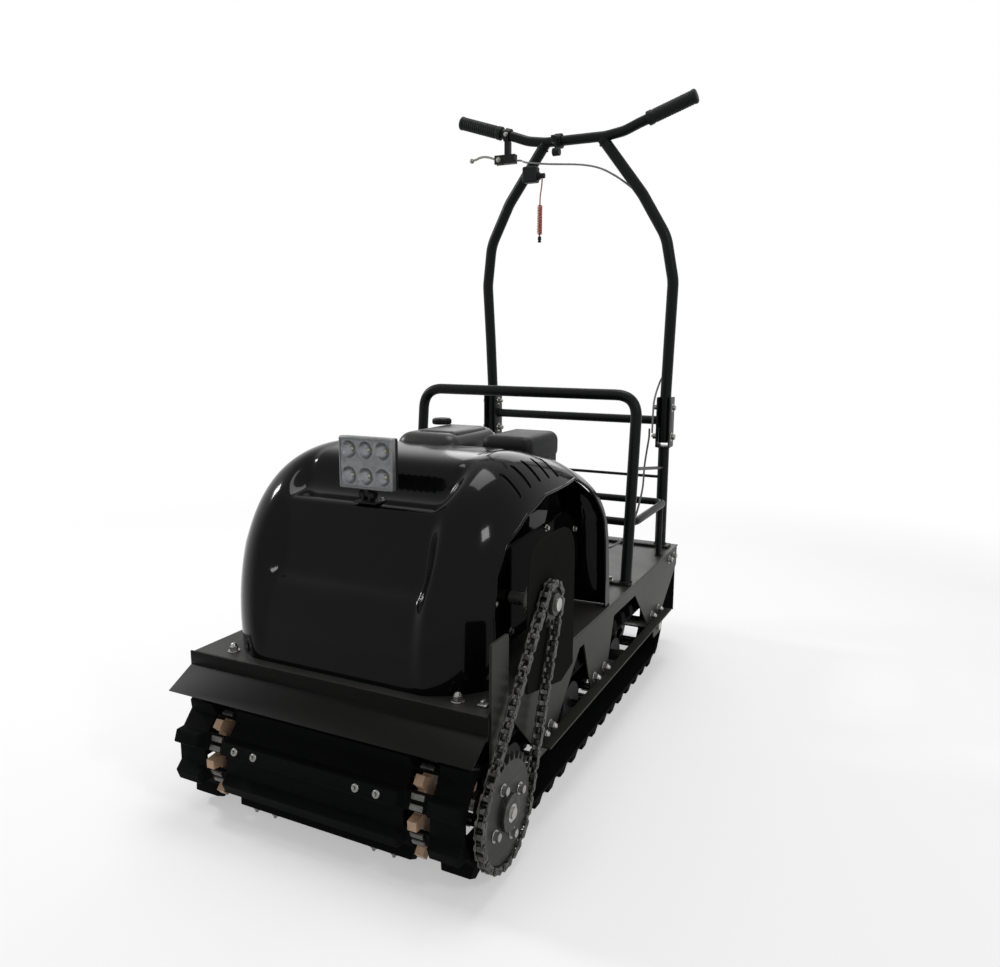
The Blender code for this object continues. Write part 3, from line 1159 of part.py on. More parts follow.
def build_brake():
    """Lever bracket on the bar, the lever that swings up to the grip, and the cable to the drive."""
    x = 0.121 - BAR_HALF
    top = on_bar(x)
    clamp_radius = BAR_RADIUS + TURNING_FIT + 0.004
    clamp = [(clamp_radius, 0.006), (clamp_radius, -0.006), (BAR_RADIUS + TURNING_FIT, -0.006),
             (BAR_RADIUS + TURNING_FIT, 0.006)]
    line = Vector((-grip_line().x, grip_line().y, grip_line().z))
    turn = line.to_track_quat("Z", "Y").to_matrix().to_4x4()
    bracket = as_mesh(turned("brake_bracket", clamp, "matt_black", top, turn, 16, ring=True))
    stem = box("brake_stem", (x - 0.007, top.y - 0.006, 1.128), (x + 0.006, top.y + 0.006, top.z - BAR_RADIUS - 0.0035),
               "matt_black")
    pivot = (x - 0.022, top.y, 1.136)
    foot = box("brake_foot", (x - 0.032, top.y - 0.008, 1.126), (x + 0.020, top.y + 0.008, 1.146), "matt_black")
    slot = box("lever_slot", (x - 0.040, top.y - LEVER_HALF - SEAT, 1.110),
               (pivot[0] + 0.012, top.y + LEVER_HALF + SEAT, 1.160), "matt_black")
    pin = rod("lever_pin", (pivot[0], top.y - 0.007, pivot[2]), (pivot[0], top.y + 0.007, pivot[2]),
              LEVER_PIN_RADIUS, "matt_black", "Y", 10)
    cut(foot, slot)
    join(bracket, stem, as_mesh(foot), pin)
    blade = [(0.008, -0.006), (0.008, 0.006), (-0.022, 0.011), (-0.052, 0.013), (-0.070, 0.011), (-0.070, 0.005),
             (-0.050, 0.006), (-0.022, 0.003), (-0.006, -0.007)]
    outline = [(pivot[0] + a, pivot[2] + b) for a, b in blade]
    hole = circle(pivot[0], pivot[2], LEVER_PIN_RADIUS + TURNING_FIT, 10)
    lever = as_mesh(flat("brake_lever", [outline, hole], 2 * LEVER_HALF, "zinc_steel", facing_y(top.y)))
    ball = rod("lever_ball", (pivot[0] - 0.072, top.y - 0.006, pivot[2] + 0.008),
               (pivot[0] - 0.072, top.y + 0.006, pivot[2] + 0.008), 0.007, "zinc_steel", "Y", 12)
    join(lever, ball)
    exit_point = Vector((x + 0.020 + SEAT, top.y, 1.132))
    run_x = POST_X - 0.023
    fold_y = POST_Y - 0.021
    bends = [(-0.104, -0.050, 1.123), (-0.040, -0.052, 1.119), (0.040, -0.050, 1.110), (0.095, -0.045, 1.088)]
    down = [(-0.069, -0.042, 1.055), (-0.031, -0.036, 0.990), (-0.003, -0.026, 0.930), (0.007, -0.015, 0.850),
            (0.005, -0.011, 0.740), (0.001, -0.012, 0.640), (0.0, -0.018, FOLD_Z + 0.059),
            (0.0, -0.021, FOLD_Z + 0.029), (0.0, -0.021, FOLD_Z + 0.009)]
    upper = [exit_point, exit_point + Vector((0.012, 0.0, 0.0))]
    upper += [(a, POST_Y + b, c) for a, b, c in bends]
    upper += [(run_x + a, POST_Y + b, c) for a, b, c in down]
    cable("brake_cable_upper", upper)
    beside = run_x - 2 * CABLE_RADIUS - 4 * SEAT
    span = POST_Y - COVER_REAR_Y
    drop = [(0.0305, 0.761, 0.390), (0.0405, 0.560, 0.335), (0.0405, 0.380, 0.318), (0.0325, 0.199, 0.325)]
    lower = [(beside, fold_y, FOLD_Z + 0.019), (beside, fold_y, FOLD_Z - 0.001),
             (beside, POST_Y - 0.050, FOLD_Z - 0.061)]
    lower += [(COVER_X + a, COVER_REAR_Y + span * b, c) for a, b, c in drop]
    lower += [(COVER_X, COVER_REAR_Y + 0.039, COVER_REAR_Z), (COVER_X, COVER_REAR_Y + SEAT, COVER_REAR_Z)]
    cable("brake_cable_lower", lower)


def smooth_path(points, steps):
    """A smooth curve through points (Catmull-Rom), with a number of steps between each two."""
    path = [Vector(p) for p in points]
    path = [path[0] * 2 - path[1], *path, path[-1] * 2 - path[-2]]
    result = []
    for a, b, c, d in zip(path, path[1:], path[2:], path[3:]):
        for step in range(steps):
            t = step / steps
            result.append(0.5 * ((2 * b) + (c - a) * t + (2 * a - 5 * b + 4 * c - d) * t ** 2
                                 + (3 * b - a - 3 * c + d) * t ** 3))
    result.append(path[-2])
    return result




def cable(name, points):
    """Cable along a smooth curve through its points."""
    route = [points[0], *smooth_path(points[1:-1], 2), points[-1]]
    tube(name, route, CABLE_RADIUS, "silver_cable", resolution=1)




def build_kill_switch():
    """Stop switch on the left column with its pull-out key, and the coiled lanyard on the key."""
    box("kill_switch", (-0.118, SWITCH_Y - 0.0120, 1.076), (-0.082, SWITCH_Y + 0.0108, 1.112), "matt_black", 0.003, 1)
    key = [(0, 0.010), (0.0060, 0.010), (0.0060, -0.002), (0.0090, -0.002), (0.0090, -0.006), (0, -0.006)]
    turned("kill_key", key, "lanyard_red", (-0.082 + 0.006 + SEAT, SWITCH_Y, KEY_Z), TURN_X, 14)
    x, y = -0.082 + 0.006 + SEAT + 0.004, SWITCH_Y
    top = KEY_Z - 0.006 - SEAT
    coil_top = top - 0.052
    lead = [(x, y, top), (x - 0.001, y, top - 0.015), (x - 0.004, y, top - 0.035), (x - 0.005, y, coil_top)]
    tube("lanyard_lead", smooth_path(lead, 3), CORD_RADIUS, "lanyard_red", resolution=1)
    centre = Vector((x - 0.005, y, coil_top - SEAT))
    points = [centre, centre - Vector((0, 0, 2 * CORD_RADIUS))]
    start = centre.z - 2.5 * CORD_RADIUS
    total = COIL_TURNS * COIL_STEPS
    for k in range(total + 1):
        turn = 2 * math.pi * k / COIL_STEPS
        grow = min(1.0, k / COIL_STEPS, (total - k) / COIL_STEPS)
        reach = COIL_RADIUS * grow
        points.append(Vector((centre.x + reach * math.cos(turn), centre.y + reach * math.sin(turn),
                              start - COIL_PITCH * k / COIL_STEPS)))
    last = points[-1].z
    points += [Vector((centre.x, centre.y, last - 0.5 * CORD_RADIUS - COIL_PITCH / COIL_STEPS)),
               Vector((centre.x, centre.y, last - 3 * CORD_RADIUS - COIL_PITCH / COIL_STEPS))]
    print("least gap between the lanyard's turns: %.2f mm" % (1000 * (COIL_PITCH - 2 * CORD_RADIUS)))
    tube("lanyard_coil", points, CORD_RADIUS, "lanyard_red", resolution=1)
    end = points[-1]
    hook = [(0, 0.0), (0.0030, 0.0), (0.0042, -0.003), (0.0042, -0.014), (0, -0.014)]
    turned("lanyard_hook", hook, "matt_black", (end.x, end.y, end.z - SEAT), TURN_Z, 10)


def build_throttle():
    """Throttle clamp beside the left column on the bar, and its lever with a knob below."""
    x = -0.040
    centre = on_bar(x)
    inner = BAR_RADIUS + TURNING_FIT
    ring = [(inner + 0.005, 0.008), (inner + 0.005, -0.008), (inner, -0.008), (inner, 0.008)]
    clamp = as_mesh(turned("throttle_clamp", ring, "matt_black", centre, TURN_X, 16, ring=True))
    ear = box("throttle_ear", (x - 0.008, centre.y - 0.030, centre.z - 0.008),
              (x + 0.001, centre.y - inner - 0.002, centre.z + 0.008), "matt_black")
    join(clamp, ear)
    pivot_y = centre.y - 0.024
    half = 0.0049
    blade = [(pivot_y - half, centre.z + half), (pivot_y + half, centre.z + half),
             (pivot_y + half, centre.z - 0.022), (pivot_y - half, centre.z - 0.022)]
    lever = as_mesh(flat("throttle_lever", [blade], 0.003, "matt_black", facing_x(x + 0.001 + SEAT + 0.0015)))
    knob = rod("throttle_knob", (x - 0.004, pivot_y, centre.z - 0.028), (x + 0.012, pivot_y, centre.z - 0.028), 0.009,
               "matt_black", sides=12)
    join(lever, knob)


build_track_belt()
build_drive_axle()
build_drive_chain()
build_chain_wheels()
build_jackshaft()
build_drive_cover()
build_deck()
build_bumper()
build_uprights()
build_inner_frame()
build_rollers()
build_hood()
build_engine()
build_lamp()
build_rack()
build_rear_frame()
build_rear()
build_column()
build_brake()
build_kill_switch()
build_throttle()
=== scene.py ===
import json
import math

import bmesh
import bpy
from mathutils import Matrix, Vector
from mathutils.bvhtree import BVHTree

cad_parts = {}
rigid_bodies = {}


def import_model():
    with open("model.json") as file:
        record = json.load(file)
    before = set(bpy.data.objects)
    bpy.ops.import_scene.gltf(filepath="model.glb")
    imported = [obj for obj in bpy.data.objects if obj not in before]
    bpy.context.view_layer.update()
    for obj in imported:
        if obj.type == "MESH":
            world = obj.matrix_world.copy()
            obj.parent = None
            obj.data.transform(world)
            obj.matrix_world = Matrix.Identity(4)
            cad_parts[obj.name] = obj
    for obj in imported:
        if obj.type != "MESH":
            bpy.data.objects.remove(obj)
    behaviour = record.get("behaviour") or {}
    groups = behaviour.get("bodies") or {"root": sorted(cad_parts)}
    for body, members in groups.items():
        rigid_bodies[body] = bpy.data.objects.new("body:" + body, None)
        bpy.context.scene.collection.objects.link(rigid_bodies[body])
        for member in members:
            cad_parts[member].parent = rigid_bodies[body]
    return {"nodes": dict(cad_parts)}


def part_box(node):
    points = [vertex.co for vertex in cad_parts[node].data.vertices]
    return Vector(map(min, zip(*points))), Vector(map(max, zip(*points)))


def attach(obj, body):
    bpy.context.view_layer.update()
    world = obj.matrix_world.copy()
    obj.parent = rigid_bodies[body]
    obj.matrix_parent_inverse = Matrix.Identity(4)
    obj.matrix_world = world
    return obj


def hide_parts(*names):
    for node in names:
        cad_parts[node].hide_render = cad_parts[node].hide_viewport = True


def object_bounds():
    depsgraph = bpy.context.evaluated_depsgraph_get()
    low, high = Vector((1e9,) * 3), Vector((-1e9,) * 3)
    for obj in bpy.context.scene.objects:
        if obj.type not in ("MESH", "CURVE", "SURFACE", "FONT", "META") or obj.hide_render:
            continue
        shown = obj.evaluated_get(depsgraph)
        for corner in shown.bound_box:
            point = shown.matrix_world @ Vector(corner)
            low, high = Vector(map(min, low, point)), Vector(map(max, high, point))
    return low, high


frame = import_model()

CAD_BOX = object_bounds()
SIDES = (("left", -1), ("right", 1))
UP = (0, 0, 1)

bl_info = {
    "name": "Tracked snow tow vehicle",
    "version": (1, 0, 0),
    "blender": (4, 5, 0),
    "location": "3D View > Sidebar > Snow tow",
    "description": "Builds the visible detail and the finishes of the tracked snow tow vehicle",
    "category": "Object",
}


# Sizes and colours

def length(name, description, default):
    """A size in metres that a user may change."""
    return bpy.props.FloatProperty(name=name, description=description, default=default, min=0.0,
                                   subtype="DISTANCE", unit="LENGTH", precision=4)


def colour(name, description, default):
    """A linear colour that a user may change."""
    return bpy.props.FloatVectorProperty(name=name, description=description, default=default, size=3,
                                         min=0.0, max=1.0, subtype="COLOR")


class SnowTowSizes(bpy.types.PropertyGroup):
    """Sizes of the visible detail"""
    plate_edge: length("Plate edge", "Rounding on the edges of the steel plates", 0.0007)
    casting_edge: length("Casting edge", "Rounding on the edges of the castings", 0.0022)
    weld_bead: length("Weld bead", "Radius of the weld beads", 0.0020)
    bolt_flats: length("Bolt flats", "Width across the flats of the frame bolts", 0.0130)
    hood_lip: length("Hood lip", "Radius of the rolled lip round the hood's arches", 0.0036)
    lug_edge: length("Lug edge", "Rounding on the belt's lugs", 0.0018)
    clip_steel: length("Clip steel", "Thickness of the belt's steel clips", 0.0016)
    grip_rib: length("Grip rib", "Height of the ribs on the grips", 0.0009)
    reflector: length("Reflector", "Radius of one reflector in the lamp", 0.0142)


class SnowTowColours(bpy.types.PropertyGroup):
    """Colours of the finishes"""
    hood: colour("Hood", "Gloss black of the hood", (0.0016, 0.0017, 0.0018))
    tubes: colour("Tubes", "Powder coat of the tubes", (0.0036, 0.0040, 0.0042))
    frame_paint: colour("Frame paint", "Olive grey of the side frames and rails", (0.0135, 0.0136, 0.0103))
    deck_paint: colour("Deck paint", "Grey of the deck", (0.0200, 0.0195, 0.0185))
    rubber: colour("Rubber", "Black of the belt, the flap and the grips", (0.0018, 0.0020, 0.0021))
    sprocket: colour("Sprocket", "Moulded polymer of the drive sprockets", (0.520, 0.335, 0.215))
    steel: colour("Steel", "Bare and plated steel", (0.480, 0.475, 0.450))
    plastic: colour("Plastic", "Moulded matt black plastic", (0.0050, 0.0052, 0.0054))
    lamp_frame: colour("Lamp frame", "Silver grey of the lamp's frame", (0.150, 0.152, 0.155))
    lanyard: colour("Lanyard", "Brick red of the stop key's lanyard", (0.330, 0.070, 0.042))


def sizes():
    """The sizes in use."""
    return bpy.context.scene.snow_tow_sizes


# Shader groups

GROUPS = {}
MATERIALS = {}
WHITE = (1.0, 1.0, 1.0, 1.0)


def fill(node, inputs):
    """Give a node's inputs their values, or link them to the outputs of other nodes."""
    for key, value in inputs.items():
        if isinstance(value, bpy.types.NodeSocket):
            node.id_data.links.new(value, node.inputs[key])
        else:
            node.inputs[key].default_value = value


def add_node(tree, kind, inputs, output=0, **settings):
    """Add a node and return one of its outputs."""
    node = tree.nodes.new("ShaderNode" + kind)
    for key, value in settings.items():
        setattr(node, key, value)
    fill(node, inputs)
    return node.outputs[output]


def calc(tree, operation, first, second, clamp=False):
    """A sum, a product or the like of two values."""
    return add_node(tree, "Math", {0: first, 1: second}, operation=operation, use_clamp=clamp)


def ramp(tree, value, low=0.0, high=1.0, to_low=0.0, to_high=1.0, shape="LINEAR"):
    """A value moved from one range into another."""
    ends = {"Value": value, "From Min": low, "From Max": high, "To Min": to_low, "To Max": to_high}
    return add_node(tree, "MapRange", ends, clamp=True, interpolation_type=shape)


def place_on(tree):
    """The place on a piece, which carries every pattern."""
    return add_node(tree, "TexCoord", {}, "Object")


def noise(tree, place, scale, detail, roughness):
    """Noise as one value."""
    return add_node(tree, "TexNoise",
                    {"Vector": place, "Scale": scale, "Detail": detail, "Roughness": roughness})


def node_group(name, output, kind, **inputs):
    """A new shader group with its number inputs and one output, and the nodes that stand for them in it."""
    group = bpy.data.node_groups.new(name, "ShaderNodeTree")
    for label, default in inputs.items():
        socket = group.interface.new_socket(name=label, in_out="INPUT", socket_type="NodeSocketFloat")
        socket.default_value = default
    group.interface.new_socket(name=output, in_out="OUTPUT", socket_type="NodeSocket" + kind)
    GROUPS[name] = group
    return group, group.nodes.new("NodeGroupInput").outputs, group.nodes.new("NodeGroupOutput")


def put_out_mask(result, first, second, amount):
    """Put out the product of two masks and an amount."""
    both = calc(result.id_data, "MULTIPLY", first, second)
    fill(result, {"Mask": calc(result.id_data, "MULTIPLY", both, amount, True)})


def drift_group():
    """Slow and fine colour drift as one mask."""
    group, given, result = node_group("colour_drift", "Mask", "Float", Scale=12.0, Contrast=1.0)
    place = place_on(group)
    slow = noise(group, place, given["Scale"], 3.0, 0.55)
    fine = noise(group, place, calc(group, "MULTIPLY", given["Scale"], 9.0), 5.0, 0.7)
    total = calc(group, "ADD", slow, calc(group, "MULTIPLY", fine, 0.35))
    stretched = calc(group, "MULTIPLY", calc(group, "SUBTRACT", total, 0.675), given["Contrast"])
    fill(result, {"Mask": calc(group, "ADD", stretched, 0.5, True)})


def grain_group():
    """Fine raised grain as a normal."""
    group, given, result = node_group("fine_grain", "Normal", "Vector",
                                      Scale=400.0, Depth=0.0002, Strength=0.3)
    height = noise(group, place_on(group), given["Scale"], 3.0, 0.6)
    bump = {"Strength": given["Strength"], "Distance": given["Depth"], "Height": height}
    fill(result, {"Normal": add_node(group, "Bump", bump)})


def wear_group():
    """Scuffs and short scratches as a mask."""
    group, given, result = node_group("scuffs", "Mask", "Float", Scale=30.0, Amount=0.3)
    place = place_on(group)
    turned = add_node(group, "Mapping",
                      {"Vector": place, "Rotation": (0.4, 0.9, 0.3), "Scale": (1.0, 14.0, 1.5)})
    lines = ramp(group, noise(group, turned, given["Scale"], 2.0, 0.5), 0.66, 0.74)
    patches = ramp(group, noise(group, place, given["Scale"], 4.0, 0.7), 0.50, 0.68)
    put_out_mask(result, lines, patches, given["Amount"])


def edge_group():
    """Bright rubbed edges as a mask."""
    group, given, result = node_group("rubbed_edges", "Mask", "Float", Amount=0.5)
    ridge = ramp(group, add_node(group, "NewGeometry", {}, "Pointiness"), 0.515, 0.60)
    gaps = ramp(group, noise(group, place_on(group), 60.0, 4.0, 0.7), 0.40, 0.62)
    put_out_mask(result, ridge, gaps, given["Amount"])


def dust_group():
    """Dust that lies on upward faces as a mask."""
    group, given, result = node_group("dust", "Mask", "Float", Scale=25.0, Amount=0.3)
    upward = add_node(group, "SeparateXYZ", {0: add_node(group, "NewGeometry", {}, "Normal")}, "Z")
    lying = ramp(group, upward, 0.2, 1.0, 0.25)
    cloud = ramp(group, noise(group, place_on(group), given["Scale"], 6.0, 0.65), 0.38, 0.72)
    put_out_mask(result, lying, cloud, given["Amount"])


# Finishes

DUST = (0.16, 0.155, 0.145)
MARK_SCALE, FILM_SCALE = 28.0, 22.0


def new_material(name):
    """The node tree and the shader of a new material."""
    material = bpy.data.materials.new(name)
    material.use_nodes = True
    MATERIALS[name] = material
    return material.node_tree, material.node_tree.nodes["Principled BSDF"]


def use_group(tree, name, **values):
    """The output of one of the shared groups, placed in a material."""
    return add_node(tree, "Group", values, node_tree=GROUPS[name])


def mix_colour(tree, mask, first, second):
    """Mix two colours, each a value or a socket, by a mask."""
    first, second = (value if isinstance(value, bpy.types.NodeSocket) else (*value, 1.0)
                     for value in (first, second))
    return add_node(tree, "Mix", {0: mask, 6: first, 7: second}, 2, data_type="RGBA")


def shade(base, factor):
    """A colour made lighter or darker; a factor that is a colour stays as it is."""
    if isinstance(factor, tuple):
        return factor
    return tuple(min(channel * factor, 1.0) for channel in base)


def finish(name, base, roughness, metallic=0.0, second=1.45, drift=(10.0, 1.6), grain=(500.0, 0.0001, 0.25),
           spread=0.12, scuffs=(0.25, 3.0), edges=None, dust=(0.15, DUST), gloss=0.5, coat=None,
           brushed=False):
    """A painted, moulded or plated finish.

    Drift is a scale and a contrast, grain a scale, a depth and a strength, a coat a weight and a roughness.
    Scuffs, edges and dust are an amount and a colour each. Second and the scuffs' colour may be a factor.
    """
    tree, shader = new_material(name)
    tones = use_group(tree, "colour_drift", Scale=drift[0], Contrast=drift[1])
    tint = mix_colour(tree, tones, base, shade(base, second))
    marks = use_group(tree, "scuffs", Scale=MARK_SCALE, Amount=scuffs[0])
    tint = mix_colour(tree, marks, tint, shade(base, scuffs[1]))
    if edges:
        rubbed = use_group(tree, "rubbed_edges", Amount=edges[0])
        tint = mix_colour(tree, rubbed, tint, edges[1])
    film = use_group(tree, "dust", Scale=FILM_SCALE, Amount=dust[0])
    tint = mix_colour(tree, film, tint, dust[1])
    rough = ramp(tree, tones, to_low=max(roughness - spread, 0.02), to_high=roughness + spread)
    dull = calc(tree, "ADD", rough, calc(tree, "MULTIPLY", film, 0.45), True)
    scale, depth, strength = grain
    normal = use_group(tree, "fine_grain", Scale=scale, Depth=depth, Strength=strength)
    if brushed:
        along = add_node(tree, "Mapping", {"Vector": place_on(tree), "Scale": (12.0, 1.0, 1.0)})
        lines = noise(tree, along, 90.0, 4.0, 0.65)
        bump = {"Strength": 0.25, "Distance": 0.0002, "Height": lines, "Normal": normal}
        normal = add_node(tree, "Bump", bump)
    fill(shader, {"Base Color": tint, "Roughness": dull, "Normal": normal, "Specular IOR Level": gloss})
    if metallic:
        fill(shader, {"Metallic": ramp(tree, film, to_low=metallic, to_high=metallic * 0.4)})
    elif edges:
        fill(shader, {"Metallic": rubbed})
    if coat:
        fill(shader, {"Coat Weight": coat[0], "Coat Roughness": coat[1]})


def build_materials():
    """Make the shared groups and every finish."""
    for build in (drift_group, grain_group, wear_group, edge_group, dust_group):
        build()
    c = bpy.context.scene.snow_tow_colours
    finish("gloss_hood", c.hood, 0.14, second=1.6, drift=(5.0, 1.0), grain=(260.0, 0.00005, 0.05),
           spread=0.05, scuffs=(0.05, (0.016, 0.016, 0.017)), dust=(0.02, (0.03, 0.03, 0.028)), gloss=0.04,
           coat=(0.13, 0.04))
    finish("powder_black", c.tubes, 0.36, drift=(18.0, 1.2), grain=(900.0, 0.0001, 0.30), spread=0.07,
           scuffs=(0.12, (0.025, 0.025, 0.024)), dust=(0.05, (0.03, 0.029, 0.027)), gloss=0.10)
    finish("bracket_black", c.tubes, 0.40, drift=(18.0, 1.2), grain=(900.0, 0.0001, 0.30), spread=0.07,
           scuffs=(0.2, (0.035, 0.035, 0.033)), edges=(0.25, (0.12, 0.118, 0.11)),
           dust=(0.06, (0.03, 0.029, 0.027)), gloss=0.10)
    finish("olive_paint", c.frame_paint, 0.40, second=1.22, drift=(4.0, 0.9), grain=(700.0, 0.00008, 0.2),
           spread=0.06, scuffs=(0.08, (0.040, 0.039, 0.033)), dust=(0.08, (0.034, 0.033, 0.027)), gloss=0.12)
    finish("deck_paint", c.deck_paint, 0.42, second=0.8, drift=(4.0, 0.9), grain=(600.0, 0.0001, 0.25),
           scuffs=(0.10, (0.06, 0.059, 0.055)), dust=(0.12, (0.065, 0.063, 0.056)), gloss=0.2)
    finish("bumper_black", (0.0020, 0.0021, 0.0018), 0.36, second=(0.0042, 0.0044, 0.0037), drift=(3.0, 0.9),
           grain=(700.0, 0.00008, 0.2), spread=0.06, scuffs=(0.03, (0.022, 0.022, 0.020)),
           dust=(0.04, (0.016, 0.015, 0.013)), gloss=0.06)
    finish("cover_black", (0.0020, 0.0021, 0.0019), 0.30, drift=(12.0, 0.8), scuffs=(0.02, 3.0),
           dust=(0.02, (0.012, 0.0115, 0.010)), gloss=0.0, coat=(0.06, 0.06))
    finish("grey_plate", (0.0110, 0.0114, 0.0102), 0.40, second=(0.0150, 0.0155, 0.0140), drift=(5.0, 0.8),
           scuffs=(0.04, (0.012, 0.012, 0.011)), dust=(0.04, (0.009, 0.0088, 0.008)), gloss=0.0)
    finish("belt_rubber", c.rubber, 0.75, second=1.9, drift=(14.0, 1.6), grain=(320.0, 0.0004, 0.5),
           spread=0.10, scuffs=(0.2, (0.009, 0.009, 0.008)), dust=(0.12, (0.013, 0.0125, 0.011)), gloss=0.04)
    finish("flap_rubber", c.rubber, 0.60, drift=(9.0, 1.6), grain=(260.0, 0.0003, 0.45),
           scuffs=(0.2, (0.02, 0.02, 0.019)), dust=(0.14, (0.025, 0.024, 0.022)), gloss=0.08)
    finish("grip_rubber", shade(c.rubber, 2.6), 0.55, drift=(30.0, 1.6), grain=(1400.0, 0.0002, 0.5),
           scuffs=(0.10, (0.03, 0.03, 0.03)), dust=(0.05, (0.03, 0.03, 0.03)), gloss=0.12)
    finish("sprocket_polymer", c.sprocket, 0.44, second=0.55, drift=(30.0, 2.0), grain=(500.0, 0.0001, 0.2),
           scuffs=(0.3, (0.62, 0.42, 0.32)), dust=(0.3, (0.040, 0.034, 0.028)), gloss=0.4)
    finish("bare_steel", c.steel, 0.28, 0.95, second=0.62, drift=(40.0, 1.6), grain=(700.0, 0.0001, 0.15),
           scuffs=(0.3, (0.60, 0.59, 0.56)), dust=(0.2, (0.07, 0.06, 0.05)), brushed=True)
    finish("zinc_steel", shade(c.steel, 0.80), 0.30, 0.9, second=0.625, drift=(55.0, 1.6),
           grain=(500.0, 0.0001, 0.08), scuffs=(0.2, (0.50, 0.49, 0.47)), dust=(0.2, (0.06, 0.055, 0.05)))
    finish("lever_steel", shade(c.steel, 0.55), 0.34, 0.9, second=shade(c.steel, 0.40), drift=(20.0, 0.8),
           grain=(200.0, 0.0001, 0.03), spread=0.05, scuffs=(0.1, 3.0), dust=(0.05, DUST))
    finish("chain_steel", (0.030, 0.0295, 0.026), 0.40, 0.85, second=(0.013, 0.0125, 0.011),
           drift=(120.0, 2.0), grain=(1500.0, 0.0001, 0.25), scuffs=(0.3, (0.26, 0.255, 0.24)),
           edges=(0.5, (0.30, 0.295, 0.28)), dust=(0.3, (0.016, 0.015, 0.012)))
    finish("roller_steel", (0.080, 0.079, 0.074), 0.34, 0.9, second=(0.028, 0.027, 0.025), drift=(150.0, 2.5),
           grain=(900.0, 0.0001, 0.12), scuffs=(0.25, (0.40, 0.39, 0.37)), dust=(0.3, (0.016, 0.015, 0.012)))
    finish("clip_steel", (0.110, 0.109, 0.104), 0.40, 0.85, second=(0.040, 0.039, 0.036), drift=(60.0, 2.0),
           grain=(700.0, 0.0001, 0.2), scuffs=(0.3, (0.35, 0.345, 0.33)), edges=(0.4, (0.45, 0.44, 0.42)),
           dust=(0.35, (0.016, 0.015, 0.013)))
    finish("wheel_steel", (0.026, 0.027, 0.021), 0.46, 0.5, second=(0.018, 0.0185, 0.015), drift=(14.0, 1.0),
           grain=(600.0, 0.0001, 0.15), scuffs=(0.2, (0.08, 0.079, 0.072)), edges=(0.45, (0.22, 0.215, 0.20)),
           dust=(0.15, (0.022, 0.021, 0.017)), gloss=0.25)
    finish("engine_alloy", (0.020, 0.020, 0.020), 0.50, 0.3, second=(0.013, 0.013, 0.013), drift=(24.0, 1.6),
           grain=(260.0, 0.0003, 0.35), scuffs=(0.2, (0.05, 0.05, 0.049)), dust=(0.3, (0.018, 0.017, 0.015)),
           gloss=0.2)
    finish("matt_plastic", c.plastic, 0.46, drift=(20.0, 1.2), grain=(850.0, 0.00012, 0.35), spread=0.07,
           scuffs=(0.10, (0.022, 0.022, 0.022)), dust=(0.06, (0.028, 0.027, 0.025)), gloss=0.12)
    finish("tank_plastic", shade(c.plastic, 1.2), 0.34, second=(0.010, 0.010, 0.0085), drift=(12.0, 1.0),
           grain=(420.0, 0.0001, 0.15), spread=0.07, scuffs=(0.08, (0.03, 0.03, 0.027)),
           dust=(0.10, (0.040, 0.039, 0.034)), gloss=0.25)
    finish("lamp_silver", c.lamp_frame, 0.34, 0.5, second=0.75, drift=(30.0, 1.0), grain=(700.0, 0.0001, 0.2),
           scuffs=(0.15, (0.5, 0.5, 0.5)), edges=(0.3, (0.6, 0.6, 0.61)), dust=(0.06, DUST))
    finish("reflector_chrome", (0.24, 0.24, 0.25), 0.16, 1.0, second=(0.14, 0.14, 0.15), drift=(140.0, 1.6),
           grain=(300.0, 0.0003, 0.25), spread=0.06, scuffs=(0.0, 3.0), dust=(0.02, DUST))
    finish("lamp_chip", (0.50, 0.47, 0.34), 0.35, second=(0.60, 0.57, 0.44), drift=(200.0, 1.6),
           scuffs=(0.0, 3.0), dust=(0.0, DUST))
    finish("lanyard_red", c.lanyard, 0.34, second=0.7, drift=(60.0, 1.6), grain=(1200.0, 0.0001, 0.2),
           scuffs=(0.1, 3.0), dust=(0.05, DUST), coat=(0.2, 0.05))
    finish("cable_sheath", (0.0125, 0.0125, 0.0130), 0.38, drift=(40.0, 1.6), grain=(1200.0, 0.0001, 0.3),
           scuffs=(0.15, (0.05, 0.05, 0.05)), dust=(0.10, (0.06, 0.06, 0.06)), gloss=0.35)
    finish("cable_grey", (0.150, 0.152, 0.155), 0.34, second=(0.110, 0.112, 0.115), drift=(40.0, 1.6),
           grain=(1200.0, 0.0001, 0.3), scuffs=(0.15, (0.28, 0.28, 0.28)), dust=(0.10, DUST))
    finish("stove_black", (0.0070, 0.0068, 0.0065), 0.62, drift=(16.0, 2.0), grain=(380.0, 0.0003, 0.5),
           scuffs=(0.2, (0.03, 0.025, 0.021)), dust=(0.2, (0.03, 0.025, 0.021)), gloss=0.12)
    build_glass()


def build_glass():
    """Clear lens of the lamp, with a faint grain."""
    tree, shader = new_material("lamp_lens")
    tones = use_group(tree, "colour_drift", Scale=30.0, Contrast=1.0)
    fill(shader, {
        "Base Color": mix_colour(tree, tones, (0.90, 0.92, 0.93), (0.97, 0.98, 0.98)),
        "Roughness": ramp(tree, tones, to_low=0.01, to_high=0.05),
        "Normal": use_group(tree, "fine_grain", Scale=120.0, Depth=0.0001, Strength=0.05),
        "Transmission Weight": 1.0,
        "IOR": 1.3,
    })


# Packed slots whose finish has another name
SLOT_FINISH = {"gloss_black": "gloss_hood", "olive_steel": "olive_paint", "silver_cable": "cable_grey",
               "alloy": "engine_alloy", "matt_black": "matt_plastic"}


# Building blocks

def to_mesh(name, bm):
    """The mesh of a bmesh, which is freed."""
    mesh = bpy.data.meshes.new(name)
    bm.to_mesh(mesh)
    bm.free()
    return mesh


def link_object(name, data):
    """An object in the scene."""
    obj = bpy.data.objects.new(name, data)
    bpy.context.scene.collection.objects.link(obj)
    return obj


